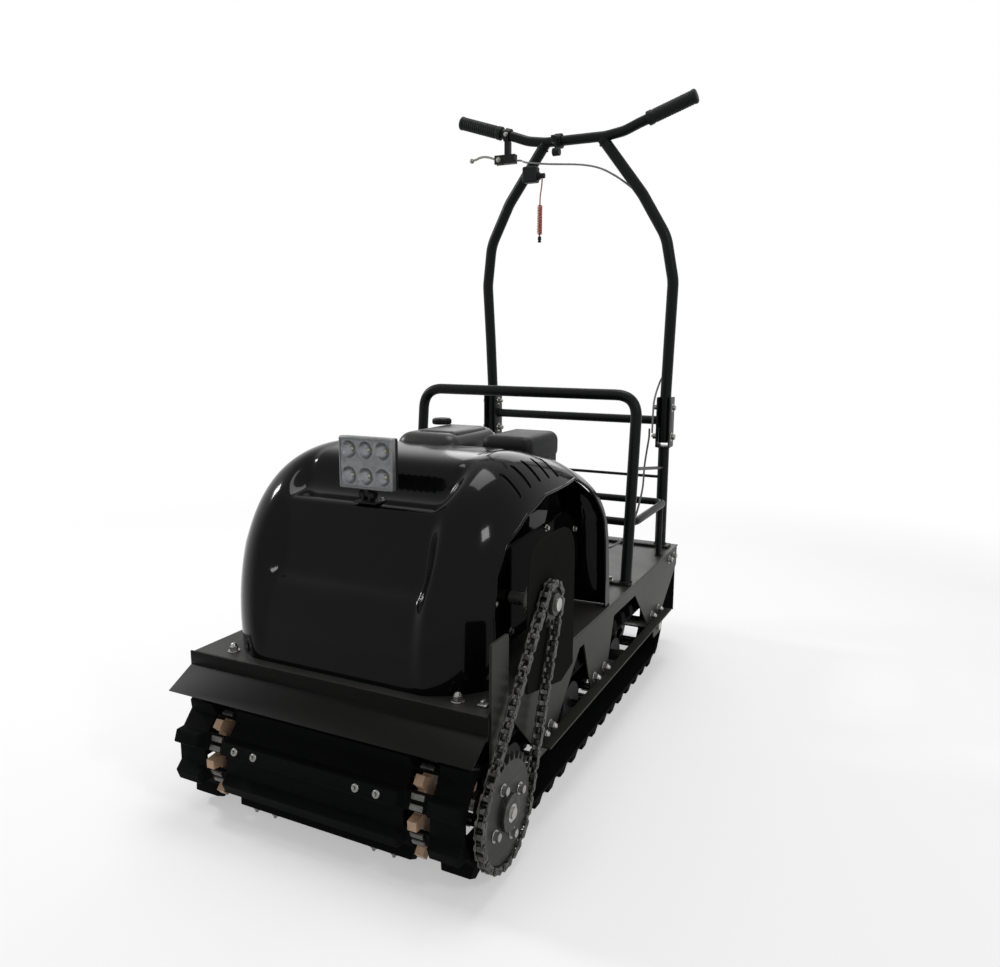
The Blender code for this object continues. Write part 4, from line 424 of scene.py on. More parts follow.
def slot_of(node):
    """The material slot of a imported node."""
    return frame["nodes"][node].material_slots[0].material.name


def body_of(node):
    """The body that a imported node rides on."""
    return frame["nodes"][node].parent.name.split(":")[-1]


def smooth_shading(mesh, limit):
    """Shade smoothly up to an angle in degrees."""
    mesh.shade_smooth()
    mesh.set_sharp_from_angle(angle=math.radians(limit))


def put(name, shape, material, body="chassis", slot="powder_black", like=None, replaces=None, smooth=35.0):
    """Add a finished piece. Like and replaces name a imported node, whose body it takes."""
    if isinstance(shape, bmesh.types.BMesh):
        bmesh.ops.remove_doubles(shape, verts=shape.verts, dist=0.00001)
        bmesh.ops.recalc_face_normals(shape, faces=shape.faces)
        shape = to_mesh(name, shape)
    obj = link_object(name, shape)
    shape.materials.clear()
    shape.materials.append(MATERIALS[material])
    if isinstance(shape, bpy.types.Mesh):
        smooth_shading(shape, smooth)
    node = replaces or like
    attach(obj, body_of(node) if node else body)
    if replaces:
        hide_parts(replaces)
    return obj


def put_bolts(name, bm, body="chassis"):
    """Add plated bolts as a piece."""
    put(name, bm, "zinc_steel", body, "zinc_steel")


def refine(node, material, edge, segments=2, smooth=35.0):
    """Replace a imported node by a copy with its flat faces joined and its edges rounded."""
    bm = bmesh.new()
    bm.from_mesh(frame["nodes"][node].data)
    bmesh.ops.remove_doubles(bm, verts=bm.verts, dist=0.00002)
    bmesh.ops.dissolve_limit(bm, angle_limit=math.radians(1.0), verts=bm.verts, edges=bm.edges)
    name = node + "_shape"
    obj = put(name, to_mesh(name, bm), material, replaces=node, smooth=smooth)
    modifier = obj.modifiers.new("edges", "BEVEL")
    modifier.width = edge
    modifier.segments = segments
    modifier.limit_method = "ANGLE"
    modifier.angle_limit = math.radians(35)
    modifier.use_clamp_overlap = True
    modifier.harden_normals = True
    return obj


def dress(node, material):
    """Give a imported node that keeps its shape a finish."""
    for entry in frame["nodes"][node].material_slots:
        entry.material = MATERIALS[material]


def add_wall(obj, thickness, offset=-1.0):
    """Give a skin its thickness."""
    wall = obj.modifiers.new("wall", "SOLIDIFY")
    wall.thickness = thickness
    wall.offset = offset
    return wall


def bake(obj):
    """Apply a piece's modifiers."""
    graph = bpy.context.evaluated_depsgraph_get()
    bpy.context.view_layer.update()
    mesh = bpy.data.meshes.new_from_object(obj.evaluated_get(graph))
    obj.modifiers.clear()
    obj.data = mesh


def temporary(name, bm):
    """An object used only while another piece is made."""
    bmesh.ops.recalc_face_normals(bm, faces=bm.faces)
    return link_object(name, to_mesh(name, bm))


def carve(obj, tools):
    """Cut temporary objects out of a piece and remove them."""
    for tool in tools:
        modifier = obj.modifiers.new(tool.name, "BOOLEAN")
        modifier.operation = "DIFFERENCE"
        modifier.solver = "EXACT"
        modifier.object = tool
    bake(obj)
    for tool in tools:
        bpy.data.objects.remove(tool, do_unlink=True)


def rounded(points, radius, steps=6, closed=False):
    """Replace the corners of a path by arcs."""
    path = [Vector(p) for p in points]
    result = []
    for k, corner in enumerate(path):
        if not closed and k in (0, len(path) - 1):
            result.append(corner)
            continue
        before = path[k - 1] - corner
        after = path[(k + 1) % len(path)] - corner
        reach = min(radius / math.tan(before.angle(after) / 2), 0.49 * before.length, 0.49 * after.length)
        start = corner + before.normalized() * reach
        end = corner + after.normalized() * reach
        for step in range(steps + 1):
            t = step / steps
            result.append(start.lerp(corner, t).lerp(corner.lerp(end, t), t))
    return result


def rounded_box(low, high, radius, steps):
    """Outline of a rectangle between two corners, with its corners rounded."""
    (a, b), (c, d) = low, high
    return rounded([(a, b, 0), (c, b, 0), (c, d, 0), (a, d, 0)], radius, steps, True)


def smooth_path(points, steps):
    """A smooth curve through points, with a number of steps between each two."""
    path = [Vector(p) for p in points]
    path = [path[0] * 2 - path[1], *path, path[-1] * 2 - path[-2]]
    result = []
    for a, b, c, d in zip(path, path[1:], path[2:], path[3:]):
        for step in range(steps):
            t = step / steps
            result.append(0.5 * ((2 * b) + (c - a) * t + (2 * a - 5 * b + 4 * c - d) * t ** 2
                                 + (3 * b - a - 3 * c + d) * t ** 3))
    result.append(path[-2])
    return result


def divide(points, steps):
    """Straight steps between points."""
    result = []
    for a, b in zip(points, points[1:]):
        result += [a.lerp(b, step / steps) for step in range(steps)]
    return result + [points[-1]]


def tube(name, points, radius, material="powder_black", closed=False, resolution=6, **where):
    """A round tube along points."""
    curve = bpy.data.curves.new(name, "CURVE")
    curve.dimensions = "3D"
    curve.bevel_depth = radius
    curve.bevel_resolution = resolution
    curve.use_fill_caps = True
    spline = curve.splines.new("POLY")
    spline.points.add(len(points) - 1)
    for point, position in zip(spline.points, points):
        point.co = (*position, 1)
    spline.use_cyclic_u = closed
    spline.use_smooth = True
    return put(name, curve, material, **where)


def at(centre, direction=UP):
    """Matrix of a place, with its z axis along a direction."""
    turn = Vector(direction).normalized().to_track_quat("Z", "Y").to_matrix().to_4x4()
    return Matrix.Translation(centre) @ turn


def facing_x(x):
    """Frame of a plate across X: its own x runs along Y and its own y along Z."""
    return Matrix(((0, 0, 1, x), (1, 0, 0, 0), (0, 1, 0, 0), (0, 0, 0, 1)))


def facing_y(y):
    """Frame of a plate across Y: its own x runs along X and its own y along Z."""
    return Matrix(((1, 0, 0, 0), (0, 0, -1, y), (0, 1, 0, 0), (0, 0, 0, 1)))


def add_turned(bm, profile, matrix, steps=24):
    """Spin a (radius, height) profile about the z axis of a matrix."""
    others = set(bm.verts)
    verts = [bm.verts.new((radius, 0, height)) for radius, height in profile]
    edges = [bm.edges.new(pair) for pair in zip(verts, verts[1:])]
    bmesh.ops.spin(bm, geom=verts + edges, cent=(0, 0, 0), axis=UP, angle=2 * math.pi, steps=steps,
                   use_merge=True)
    made = [vert for vert in bm.verts if vert not in others]
    bmesh.ops.remove_doubles(bm, verts=made, dist=0.00001)
    made = [vert for vert in bm.verts if vert not in others]
    bmesh.ops.transform(bm, matrix=matrix, verts=made)


def bevel(bm, edges, width, segments):
    """Round edges and return the corners of the faces this leaves."""
    result = bmesh.ops.bevel(bm, geom=edges, offset=width, segments=segments, profile=0.5, affect="EDGES",
                             material=-1)
    return list({vert for face in result["faces"] for vert in face.verts})


def add_block(bm, low, high, edge=0.0, segments=2, matrix=None):
    """A block between two corners with rounded edges."""
    made = bmesh.ops.create_cube(bm, size=1.0)["verts"]
    bmesh.ops.scale(bm, vec=[b - a for a, b in zip(low, high)], verts=made)
    bmesh.ops.translate(bm, vec=[(a + b) / 2 for a, b in zip(low, high)], verts=made)
    if edge:
        made = bevel(bm, list({e for vert in made for e in vert.link_edges}), edge, segments)
    if matrix is not None:
        bmesh.ops.transform(bm, matrix=matrix, verts=made)


def add_plate(bm, outline, thickness, matrix, edge=0.0, segments=2):
    """A plate of an outline in its own xy plane, from z = 0 up to its thickness."""
    verts = [bm.verts.new((point[0], point[1], 0)) for point in outline]
    face = bm.faces.new(verts)
    made = bmesh.ops.extrude_face_region(bm, geom=[face], use_keep_orig=True)
    top = [item for item in made["geom"] if isinstance(item, bmesh.types.BMVert)]
    bmesh.ops.translate(bm, vec=(0, 0, thickness), verts=top)
    every = verts + top
    if edge:
        flat_faces = [f for f in {f for v in every for f in v.link_faces} if len(f.verts) == len(outline)]
        every = bevel(bm, list({e for f in flat_faces for e in f.edges}), edge, segments)
    bmesh.ops.transform(bm, matrix=matrix, verts=every)


# What stands on a bolt's hexagon, in widths across its flats, with the steps round it and how deep it is sunk
CROWNS = {
    "bolt": ([(0.40, 0), (0.36, 0.03), (0, 0.03)], 16, 0.0002),
    "nut": ([(0.30, 0), (0.30, 0.22), (0.24, 0.28), (0, 0.28)], 14, 0.0004),
    "dome": ([(0.44, 0), (0.42, 0.18), (0.30, 0.34), (0.12, 0.42), (0, 0.43)], 16, 0.0002),
}


def add_bolt(bm, centre, direction=UP, flats=None, kind="bolt"):
    """A hexagon bolt head, nut or dome nut on its washer, standing on a surface."""
    flats = flats or sizes().bolt_flats
    place = at(centre, direction)
    base = flats * 0.10
    washer = [(0, 0), (flats * 0.82, 0), (flats * 0.84, base * 0.5), (flats * 0.80, base), (0, base)]
    add_turned(bm, washer, place, 18)
    height = flats * (0.72 if kind == "nut" else 0.62)
    corner = flats / math.sqrt(3)
    angles = [2 * math.pi * k / 6 for k in range(6)]
    hexagon = [(corner * math.cos(angle), corner * math.sin(angle)) for angle in angles]
    add_plate(bm, hexagon, height, place @ Matrix.Translation((0, 0, base)), flats * 0.06, 1)
    profile, steps, sunk = CROWNS[kind]
    top = base + height
    crown = [(flats * across, top + flats * up if up else top - sunk) for across, up in profile]
    add_turned(bm, crown, place, steps)


def add_weld(bm, centre, direction, radius, bead, ripples=26):
    """A rippled weld bead round a tube."""
    place = at(centre, direction)
    for k in range(ripples):
        angle = 2 * math.pi * k / ripples
        spot = Vector((radius * math.cos(angle), radius * math.sin(angle), 0))
        shape = place @ Matrix.Translation(spot) @ Matrix.Rotation(angle, 4, "Z")
        bmesh.ops.create_icosphere(bm, subdivisions=1, radius=bead,
                                   matrix=shape @ Matrix.Diagonal((1, 1.5, 1, 1)))


def loft(sections):
    """A skin drawn through sections, by extruding the first one."""
    bm = bmesh.new()
    row = [bm.verts.new(point) for point in sections[0]]
    edges = [bm.edges.new(pair) for pair in zip(row, row[1:])]
    for section in sections[1:]:
        made = bmesh.ops.extrude_edge_only(bm, edges=edges)
        follow = {}
        before = set(row)
        for face in (item for item in made["geom"] if isinstance(item, bmesh.types.BMFace)):
            for edge in face.edges:
                inside = [vert in before for vert in edge.verts]
                if inside.count(True) == 1:
                    old = edge.verts[inside.index(True)]
                    follow[old] = edge.other_vert(old)
        row = [follow[vert] for vert in row]
        for vert, point in zip(row, section):
            vert.co = point
        edges = [next(e for e in a.link_edges if e.other_vert(a) is b) for a, b in zip(row, row[1:])]
    return bm


def soften(grid, passes, across=True):
    """Round a grid of points by averaging neighbours; its border stays."""
    for _ in range(passes):
        grid = [grid[0]] + [
            [(a + 2 * b + c) / 4 for a, b, c in zip(before, row, after)]
            for before, row, after in zip(grid, grid[1:], grid[2:])
        ] + [grid[-1]]
        if across:
            grid = [
                [row[0]] + [(a + 2 * b + c) / 4 for a, b, c in zip(row, row[1:], row[2:])] + [row[-1]]
                for row in grid
            ]
    return grid


def centre_of(node):
    """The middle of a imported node's box."""
    low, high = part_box(node)
    return [(a + b) / 2 for a, b in zip(low, high)]


def spoke(centre, radius, angle):
    """The point at an angle on a circle."""
    return centre + radius * Vector((math.cos(angle), math.sin(angle)))


class Loop:
    """A belt or a chain drawn round two wheels, each a centre (y, z) and a radius of its pitch line."""

    def __init__(self, first, first_radius, second, second_radius, total=None):
        offset = second - first
        inward = math.asin((first_radius - second_radius) / offset.length)
        rise = math.atan2(offset.y, offset.x)
        self.first, self.first_radius = first, first_radius
        self.second, self.second_radius = second, second_radius
        self.upper, self.lower = rise + math.pi / 2 - inward, rise - math.pi / 2 + inward
        self.straight = offset.length * math.cos(inward)
        self.total = total or 2 * self.straight + 2 * math.pi * first_radius

    def point(self, travel):
        """Point (y, z) at a distance along the pitch line."""
        travel %= self.total
        arc = self.second_radius * (self.upper - self.lower)
        ends = [spoke(self.first, self.first_radius, self.upper),
                spoke(self.second, self.second_radius, self.upper),
                spoke(self.second, self.second_radius, self.lower),
                spoke(self.first, self.first_radius, self.lower)]
        if travel < self.straight:
            return ends[0].lerp(ends[1], travel / self.straight)
        travel -= self.straight
        if travel < arc:
            return spoke(self.second, self.second_radius, self.upper - travel / self.second_radius)
        travel -= arc
        if travel < self.straight:
            return ends[2].lerp(ends[3], travel / self.straight)
        return spoke(self.first, self.first_radius, self.lower - (travel - self.straight) / self.first_radius)


# Name, place, target, width in metres and power in watts of each soft light
LAMPS = [
    ("key_light", (-2.9, -0.4, 2.2), (0.0, -0.1, 0.45), 0.50, 44.0),
    ("fill_light", (2.5, -1.0, 2.1), (0.0, 0.0, 0.4), 0.45, 17.0),
    ("top_light", (0.1, 0.5, 2.9), (0.0, 0.0, 0.4), 1.15, 34.0),
    ("rear_light", (-0.8, 2.7, 1.7), (0.0, 0.2, 0.5), 1.6, 16.0),
]
CAMERA_PLACE = (0.7046, -1.35, 0.7233)
CAMERA_TURNS = (26.08, 10.12, 0.22)
FOCAL_PIXELS, PHOTO_WIDTH, SENSOR = 813.48, 1000.0, 36.0


class SNOWTOW_OT_stage(bpy.types.Operator):
    """Set the floor, the lights, the world and the camera"""
    bl_idname = "snowtow.stage"
    bl_label = "Stage"

    def execute(self, context):
        scene = context.scene
        scene.view_settings.view_transform = "Standard"
        self.floor()
        self.world(scene)
        for name, place, target, size, power in LAMPS:
            data = bpy.data.lights.new(name, "AREA")
            data.shape = "SQUARE"
            data.size = size
            data.energy = power
            lamp = link_object(name, data)
            lamp.location = place
            lamp.rotation_euler = (Vector(target) - Vector(place)).to_track_quat("-Z", "Y").to_euler()
        self.camera(scene)
        return {"FINISHED"}

    def seen(self, tree):
        """1 where the camera looks straight, by a reflection or through glass."""
        path = tree.nodes.new("ShaderNodeLightPath").outputs
        seen = calc(tree, "MAXIMUM", path["Is Camera Ray"], path["Is Glossy Ray"])
        return calc(tree, "MAXIMUM", seen, path["Is Transmission Ray"])

    def floor(self):
        """A pale floor that keeps the object's shadow."""
        bm = bmesh.new()
        bmesh.ops.create_grid(bm, x_segments=1, y_segments=1, size=14.0)
        bmesh.ops.translate(bm, vec=(0, 0, CAD_BOX[0][2] - 0.0005), verts=bm.verts)
        floor = link_object("floor", to_mesh("floor", bm))
        tree, shader = new_material("floor_white")
        fill(shader, {"Base Color": (0.86, 0.86, 0.86, 1.0), "Roughness": 0.9, "Specular IOR Level": 0.1})
        reach = add_node(tree, "VectorMath", {0: place_on(tree)}, "Value", operation="LENGTH")
        near = calc(tree, "MAXIMUM", ramp(tree, reach, 0.9, 2.6, shape="SMOOTHSTEP"), 0.42)
        share = calc(tree, "MULTIPLY", near, self.seen(tree))
        glow = add_node(tree, "Emission", {"Color": WHITE, "Strength": 1.0})
        mix = add_node(tree, "MixShader", {0: share, 1: shader.outputs[0], 2: glow})
        fill(tree.nodes["Material Output"], {0: mix})
        floor.data.materials.append(MATERIALS["floor_white"])

    def world(self, scene):
        """White for the camera and for reflections, softer as light."""
        world = bpy.data.worlds.new("studio")
        scene.world = world
        world.use_nodes = True
        tree = world.node_tree
        tree.nodes.clear()
        white = add_node(tree, "Background", {"Color": WHITE, "Strength": 1.0})
        soft = add_node(tree, "Background", {"Color": WHITE, "Strength": 0.45})
        mix = add_node(tree, "MixShader", {0: self.seen(tree), 1: soft, 2: white})
        fill(tree.nodes.new("ShaderNodeOutputWorld"), {0: mix})

    def camera(self, scene):
        """The photograph's point of view."""
        data = bpy.data.cameras.new("camera")
        data.sensor_fit = "HORIZONTAL"
        data.sensor_width = SENSOR
        data.lens = FOCAL_PIXELS * SENSOR / PHOTO_WIDTH
        camera = link_object("camera", data)
        turn, pitch, roll = (math.radians(a) for a in CAMERA_TURNS)
        ahead = Vector((-math.sin(turn) * math.cos(pitch), math.cos(turn) * math.cos(pitch),
                        -math.sin(pitch)))
        right = Vector((math.cos(turn), math.sin(turn), 0.0))
        up = right.cross(ahead)
        across = right * math.cos(roll) + up * math.sin(roll)
        upward = -right * math.sin(roll) + up * math.cos(roll)
        axes = Matrix((across, upward, -ahead)).transposed().to_4x4()
        camera.matrix_world = Matrix.Translation(CAMERA_PLACE) @ axes
        scene.camera = camera


class SNOWTOW_OT_lanyard(bpy.types.Operator):
    """Build the stop key's lanyard: its lead, its coil and its hook"""
    bl_idname = "snowtow.lanyard"
    bl_label = "Lanyard"

    def execute(self, context):
        radius, x, y = 0.0016, -0.0717, 0.450
        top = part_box("lanyard_lead")[1][2]
        low_end = top - 0.052
        lead = smooth_path([(x, y, top), (x - 0.001, y, top - 0.015), (x - 0.004, y, top - 0.035),
                            (x - 0.005, y, low_end)], 8)
        cord = tube("lanyard_lead_cord", lead, radius, "lanyard_red", replaces="lanyard_lead")
        centre = Vector((x - 0.005, y, low_end - 0.0003))
        reach, pitch, turns, steps = 0.0045, 0.0036, 19, 20
        coil = [centre, centre - Vector((0, 0, 2 * radius))]
        start = centre.z - 2.5 * radius
        total = turns * steps
        for k in range(total + 1):
            angle = 2 * math.pi * k / steps
            grow = reach * min(1.0, k / steps, (total - k) / steps)
            coil.append(Vector((centre.x + grow * math.cos(angle), centre.y + grow * math.sin(angle),
                                start - pitch * k / steps)))
        last = coil[-1].z - pitch / 8
        coil += [Vector((centre.x, centre.y, last - turn * radius)) for turn in (0.5, 3)]
        spring = tube("lanyard_coil_cord", coil, radius, "lanyard_red", replaces="lanyard_coil")
        bm = bmesh.new()
        x, y, _ = centre_of("lanyard_hook")
        profile = [(0, 0), (0.0026, 0), (0.0031, -0.0006), (0.0042, -0.0030), (0.0042, -0.0080),
                   (0.0032, -0.0088), (0.0032, -0.0100), (0.0040, -0.0108), (0.0040, -0.0132),
                   (0.0034, -0.0140), (0, -0.0140)]
        add_turned(bm, profile, Matrix.Translation((x, y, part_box("lanyard_hook")[1][2])), 20)
        hook = put("lanyard_hook_end", bm, "matt_plastic", replaces="lanyard_hook")
        return {"FINISHED"}


# Side views of the hood over its top as (distance from the front, z): middle, lobe, shoulder and side foot
HOOD_MIDDLE = [
    (0.0775, 0.2403), (0.0825, 0.295), (0.0925, 0.345), (0.1065, 0.364), (0.1265, 0.371), (0.1385, 0.425),
    (0.1465, 0.470), (0.1425, 0.484), (0.1965, 0.484), (0.2125, 0.532), (0.2365, 0.545), (0.2845, 0.548),
    (0.3545, 0.547), (0.3845, 0.545),
]
HOOD_LOBE = [
    (0.0775, 0.2403), (0.0755, 0.295), (0.0815, 0.345), (0.0920, 0.385), (0.1050, 0.420), (0.1210, 0.450),
    (0.1410, 0.478), (0.1655, 0.503), (0.1955, 0.525), (0.2330, 0.542), (0.2840, 0.552), (0.3440, 0.552),
    (0.4490, 0.534), (0.5345, 0.500),
]
HOOD_SHOULDER = [
    (0.1895, 0.2403), (0.1915, 0.278), (0.1945, 0.308), (0.1995, 0.334), (0.2075, 0.356), (0.2195, 0.375),
    (0.2315, 0.392), (0.2465, 0.405), (0.2665, 0.414), (0.2925, 0.420), (0.3295, 0.423), (0.3845, 0.423),
    (0.4745, 0.414), (0.5525, 0.395),
]
HOOD_SIDE_FOOT = [
    0.1895, 0.2045, 0.2225, 0.2425, 0.2645, 0.2885, 0.3145, 0.3425, 0.3725, 0.4045, 0.4395, 0.4795, 0.5245,
    0.5695,
]
HOOD_FOOT = 0.2403
ARCH = [(0.1425, 0.150), (0.1425, 0.350), (0.1545, 0.400), (0.1815, 0.440), (0.2345, 0.471), (0.3045, 0.489),
        (0.4645, 0.490), (0.5125, 0.466), (0.5365, 0.410), (0.5445, 0.290), (0.5465, 0.150)]


class SNOWTOW_OT_hood(bpy.types.Operator):
    """Build the gloss hood, its louvres and the rolled lips of its two arches"""
    bl_idname = "snowtow.hood"
    bl_label = "Hood"

    def execute(self, context):
        self.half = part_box("hood")[1][0]
        self.front = CAD_BOX[0][1]
        self.arch = rounded([(self.front + a, b, 0) for a, b in ARCH], 0.05, 6)
        grid = self.skin()
        bm = loft(grid)
        bm.normal_update()
        if max(bm.faces, key=lambda face: face.calc_center_median().z).normal.z < 0:
            bmesh.ops.reverse_faces(bm, faces=bm.faces)
        bm.normal_update()
        tree = BVHTree.FromBMesh(bm)
        obj = put("hood_skin", to_mesh("hood_skin", bm), "gloss_hood", replaces="hood", smooth=38.0)
        add_wall(obj, 0.003).use_even_offset = True
        bake(obj)
        carve(obj, self.cutters())
        smooth_shading(obj.data, 38)
        self.lips(tree)
        # painted shade: dark sheets under the louvres
        self.screens(grid)
        return {"FINISHED"}

    def section(self, k):
        """One section of the hood from one foot over the middle to the other."""
        inner, outer = self.half - 0.125, self.half - 0.101
        middle, lobe, shoulder = (Vector((0, *table[k])) for table in (HOOD_MIDDLE, HOOD_LOBE, HOOD_SHOULDER))
        row = []
        for x in (0.0, inner / 2, inner - 0.006, inner, (inner + outer) / 2, outer):
            share = min(max((x - inner) / (outer - inner), 0.0), 1.0)
            share = share * share * (3 - 2 * share)
            row.append(middle.lerp(lobe, share) + Vector((x, 0, 0)))
        fullness = 1.4 + 0.45 * min(k / 8, 1.0)
        for step in (0.28, 0.52, 0.74, 0.90, 1.0):
            share = 1 - (1 - step ** fullness) ** (1 / fullness)
            row.append(lobe.lerp(shoulder, share) + Vector((outer + (self.half - outer) * step, 0, 0)))
        foot = Vector((0, HOOD_SIDE_FOOT[k], HOOD_FOOT))
        for step in (0.5, 1.0):
            row.append(shoulder.lerp(foot, step) + Vector((self.half, 0, 0)))
        row = divide([point + Vector((0, self.front, 0)) for point in row], 4)
        return [Vector((-p.x, p.y, p.z)) for p in reversed(row[1:])] + row

    def skin(self):
        """Fine grid of the outer surface, rounded a little everywhere."""
        rows = [self.section(k) for k in range(len(HOOD_MIDDLE))]
        columns = [divide(list(column), 4) for column in zip(*rows)]
        grid = soften([list(row) for row in zip(*columns)], 4)
        return soften(grid, 2)

    def cutters(self):
        """Tools for the arches, the rear bay and the louvres."""
        bm = bmesh.new()
        add_plate(bm, self.arch, 0.8, facing_x(-0.4))
        arch = temporary("arch_tool", bm)
        bm = bmesh.new()
        keep = self.half - 0.093
        add_block(bm, (-keep, self.front - 0.1, 0.05), (keep, self.front + 0.9, 0.9))
        carve(arch, [temporary("core_tool", bm)])
        bm = bmesh.new()
        add_block(bm, (-0.180, self.front + 0.3765, 0.30), (0.176, self.front + 0.7345, 0.70))
        tools = [arch, temporary("bay_tool", bm)]
        for _, side in SIDES:
            for k in range(5):
                bm = bmesh.new()
                x, y = side * (self.half - 0.048), self.front + 0.2345 + 0.036 * k
                outline = rounded_box((x - 0.017, y), (x + 0.017, y + 0.009), 0.004, 3)
                add_plate(bm, outline, 0.12, Matrix.Translation((0, 0, 0.480)))
                tools.append(temporary("louvre_tool", bm))
        return tools

    def screens(self, grid):
        """A dark sheet under each row of louvres: painted shade that stands in for the shaded inside of the
        hood seen through the slots.
        """
        middle = min(grid, key=lambda row: abs(row[len(row) // 2].y - self.front - 0.31))
        for name, side in SIDES:
            columns = [k for k, p in enumerate(middle)
                       if self.half - 0.082 < side * p.x < self.half - 0.024 and p.z > 0.35]
            rows = [[row[k] - Vector((0, 0, 0.0044)) for k in columns] for row in grid
                    if 0.205 < row[columns[0]].y - self.front < 0.420]
            # painted shade: a black sheet under the louvres keeps the slots dark, in place of the shade
            # inside the hood
            obj = put("louvre_screen_" + name, loft(rows), "stove_black", slot="gloss_black", smooth=60.0)
            add_wall(obj, 0.0015)

    def lips(self, tree):
        """A rolled lip along the edge of each arch."""
        for name, side in SIDES:
            path = []
            for point in divide(self.arch, 3):
                hit = tree.ray_cast(Vector((side * 0.6, point.x, point.y)), Vector((-side, 0, 0)))[0]
                if hit is not None and point.y > HOOD_FOOT + 0.0057:
                    path.append(hit - Vector((side * 0.0015, 0, 0)))
            tube("hood_lip_" + name, path, sizes().hood_lip * 0.72, "gloss_hood", slot="gloss_black")


# Edge of the hood's rear ends as (distance in from the side, distance from the front, z)
HOOD_END = [
    (0.113, 0.5330, 0.497), (0.101, 0.5335, 0.496), (0.073, 0.5365, 0.481), (0.049, 0.5400, 0.464),
    (0.026, 0.5440, 0.444), (0.010, 0.5480, 0.421), (0.002, 0.5515, 0.394), (0.002, 0.5600, 0.320),
    (0.002, 0.5680, 0.2410),
]


class SNOWTOW_OT_hood_ends(bpy.types.Operator):
    """Close the rear ends of the hood's two lobes and fit the cable's grommet"""
    bl_idname = "snowtow.hood_ends"
    bl_label = "Hood ends"

    def execute(self, context):
        half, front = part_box("hood")[1][0], CAD_BOX[0][1]
        for name, side in SIDES:
            rail = divide([Vector((side * (half - x), front + y, z)) for x, y, z in HOOD_END], 3)
            inner = [Vector((side * (half - HOOD_END[0][0]), p.y - 0.004, p.z)) for p in rail]
            bm = bmesh.new()
            first = [bm.verts.new(p) for p in rail]
            edges = [bm.edges.new(pair) for pair in zip(first, first[1:])]
            made = bmesh.ops.extrude_edge_only(bm, edges=edges)["geom"]
            for vert in (item for item in made if isinstance(item, bmesh.types.BMVert)):
                vert.co = min(zip(rail, inner), key=lambda pair: (pair[0] - vert.co).length)[1]
            add_wall(put("hood_end_" + name, bm, "gloss_hood", slot="gloss_black", smooth=60.0), 0.003, 0.0)
        bm = bmesh.new()
        profile = [(0.0032, -0.004), (0.0075, -0.004), (0.0080, -0.0028), (0.0080, 0.0028), (0.0075, 0.004),
                   (0.0032, 0.004)]
        add_turned(bm, profile, at((0.1775, 0.0220, 0.352), (0, 1, 0)), 20)
        put("cable_grommet", bm, "grip_rubber")
        return {"FINISHED"}


class SNOWTOW_OT_rack(bpy.types.Operator):
    """Build the rack's hoop and rim, their foot bar, bolts and welds"""
    bl_idname = "snowtow.rack"
    bl_label = "Rack"

    def execute(self, context):
        bead = sizes().weld_bead
        low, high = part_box("rack_hoop")
        base, radius = low[2], 0.011
        x, foot_y, top_y, top = high[0] - radius, low[1] + 0.012, high[1] - radius, high[2] - radius
        leg = [(-x, foot_y, base + 0.0015), (-x, top_y, top), (x, top_y, top), (x, foot_y, base + 0.0015)]
        tube("hoop_tube", rounded(leg, 0.045, 14), radius, resolution=8, replaces="rack_hoop")
        bm, welds, bolts = bmesh.new(), bmesh.new(), bmesh.new()
        add_block(bm, (-x - 0.010, foot_y - 0.012, base), (x + 0.010, foot_y + 0.012, base + 0.005), 0.0012)
        put("hoop_foot", bm, "bracket_black")
        low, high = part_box("rack_rim")
        thick, rim_z = 0.008, high[2] - 0.008
        edge_x, front, rear = high[0] - thick, low[1] + thick, high[1] - thick
        path = [(-edge_x, front, rim_z), (-edge_x, rear, rim_z),
                (edge_x, rear, rim_z), (edge_x, front, rim_z)]
        tube("rim_tube", rounded(path, 0.028, 10, True), thick, closed=True, resolution=7,
             replaces="rack_rim")
        for name, side in SIDES:
            add_weld(welds, (side * x, foot_y, base + 0.0062), UP, radius + 0.0008, bead)
            place = (side * (edge_x - 0.004), rear - 0.020)
            tube("rim_post_" + name, [(*place, low[2]), (*place, rim_z)], 0.0065)
            add_weld(welds, (*place, low[2] + 0.0008), UP, 0.0072, bead * 0.8, 18)
            add_weld(welds, (*place, rim_z - 0.0075), UP, 0.0070, bead * 0.8, 18)
            add_weld(welds, (side * x, front - thick - 0.0005, rim_z), (0, 1, 0), 0.0045, bead, 14)
            for inward in (0.034, 0.110):
                add_bolt(bolts, (side * (x - inward), foot_y, base + 0.005), UP, 0.010)
        put("rack_welds", welds, "powder_black")
        put_bolts("hoop_bolts", bolts)
        return {"FINISHED"}


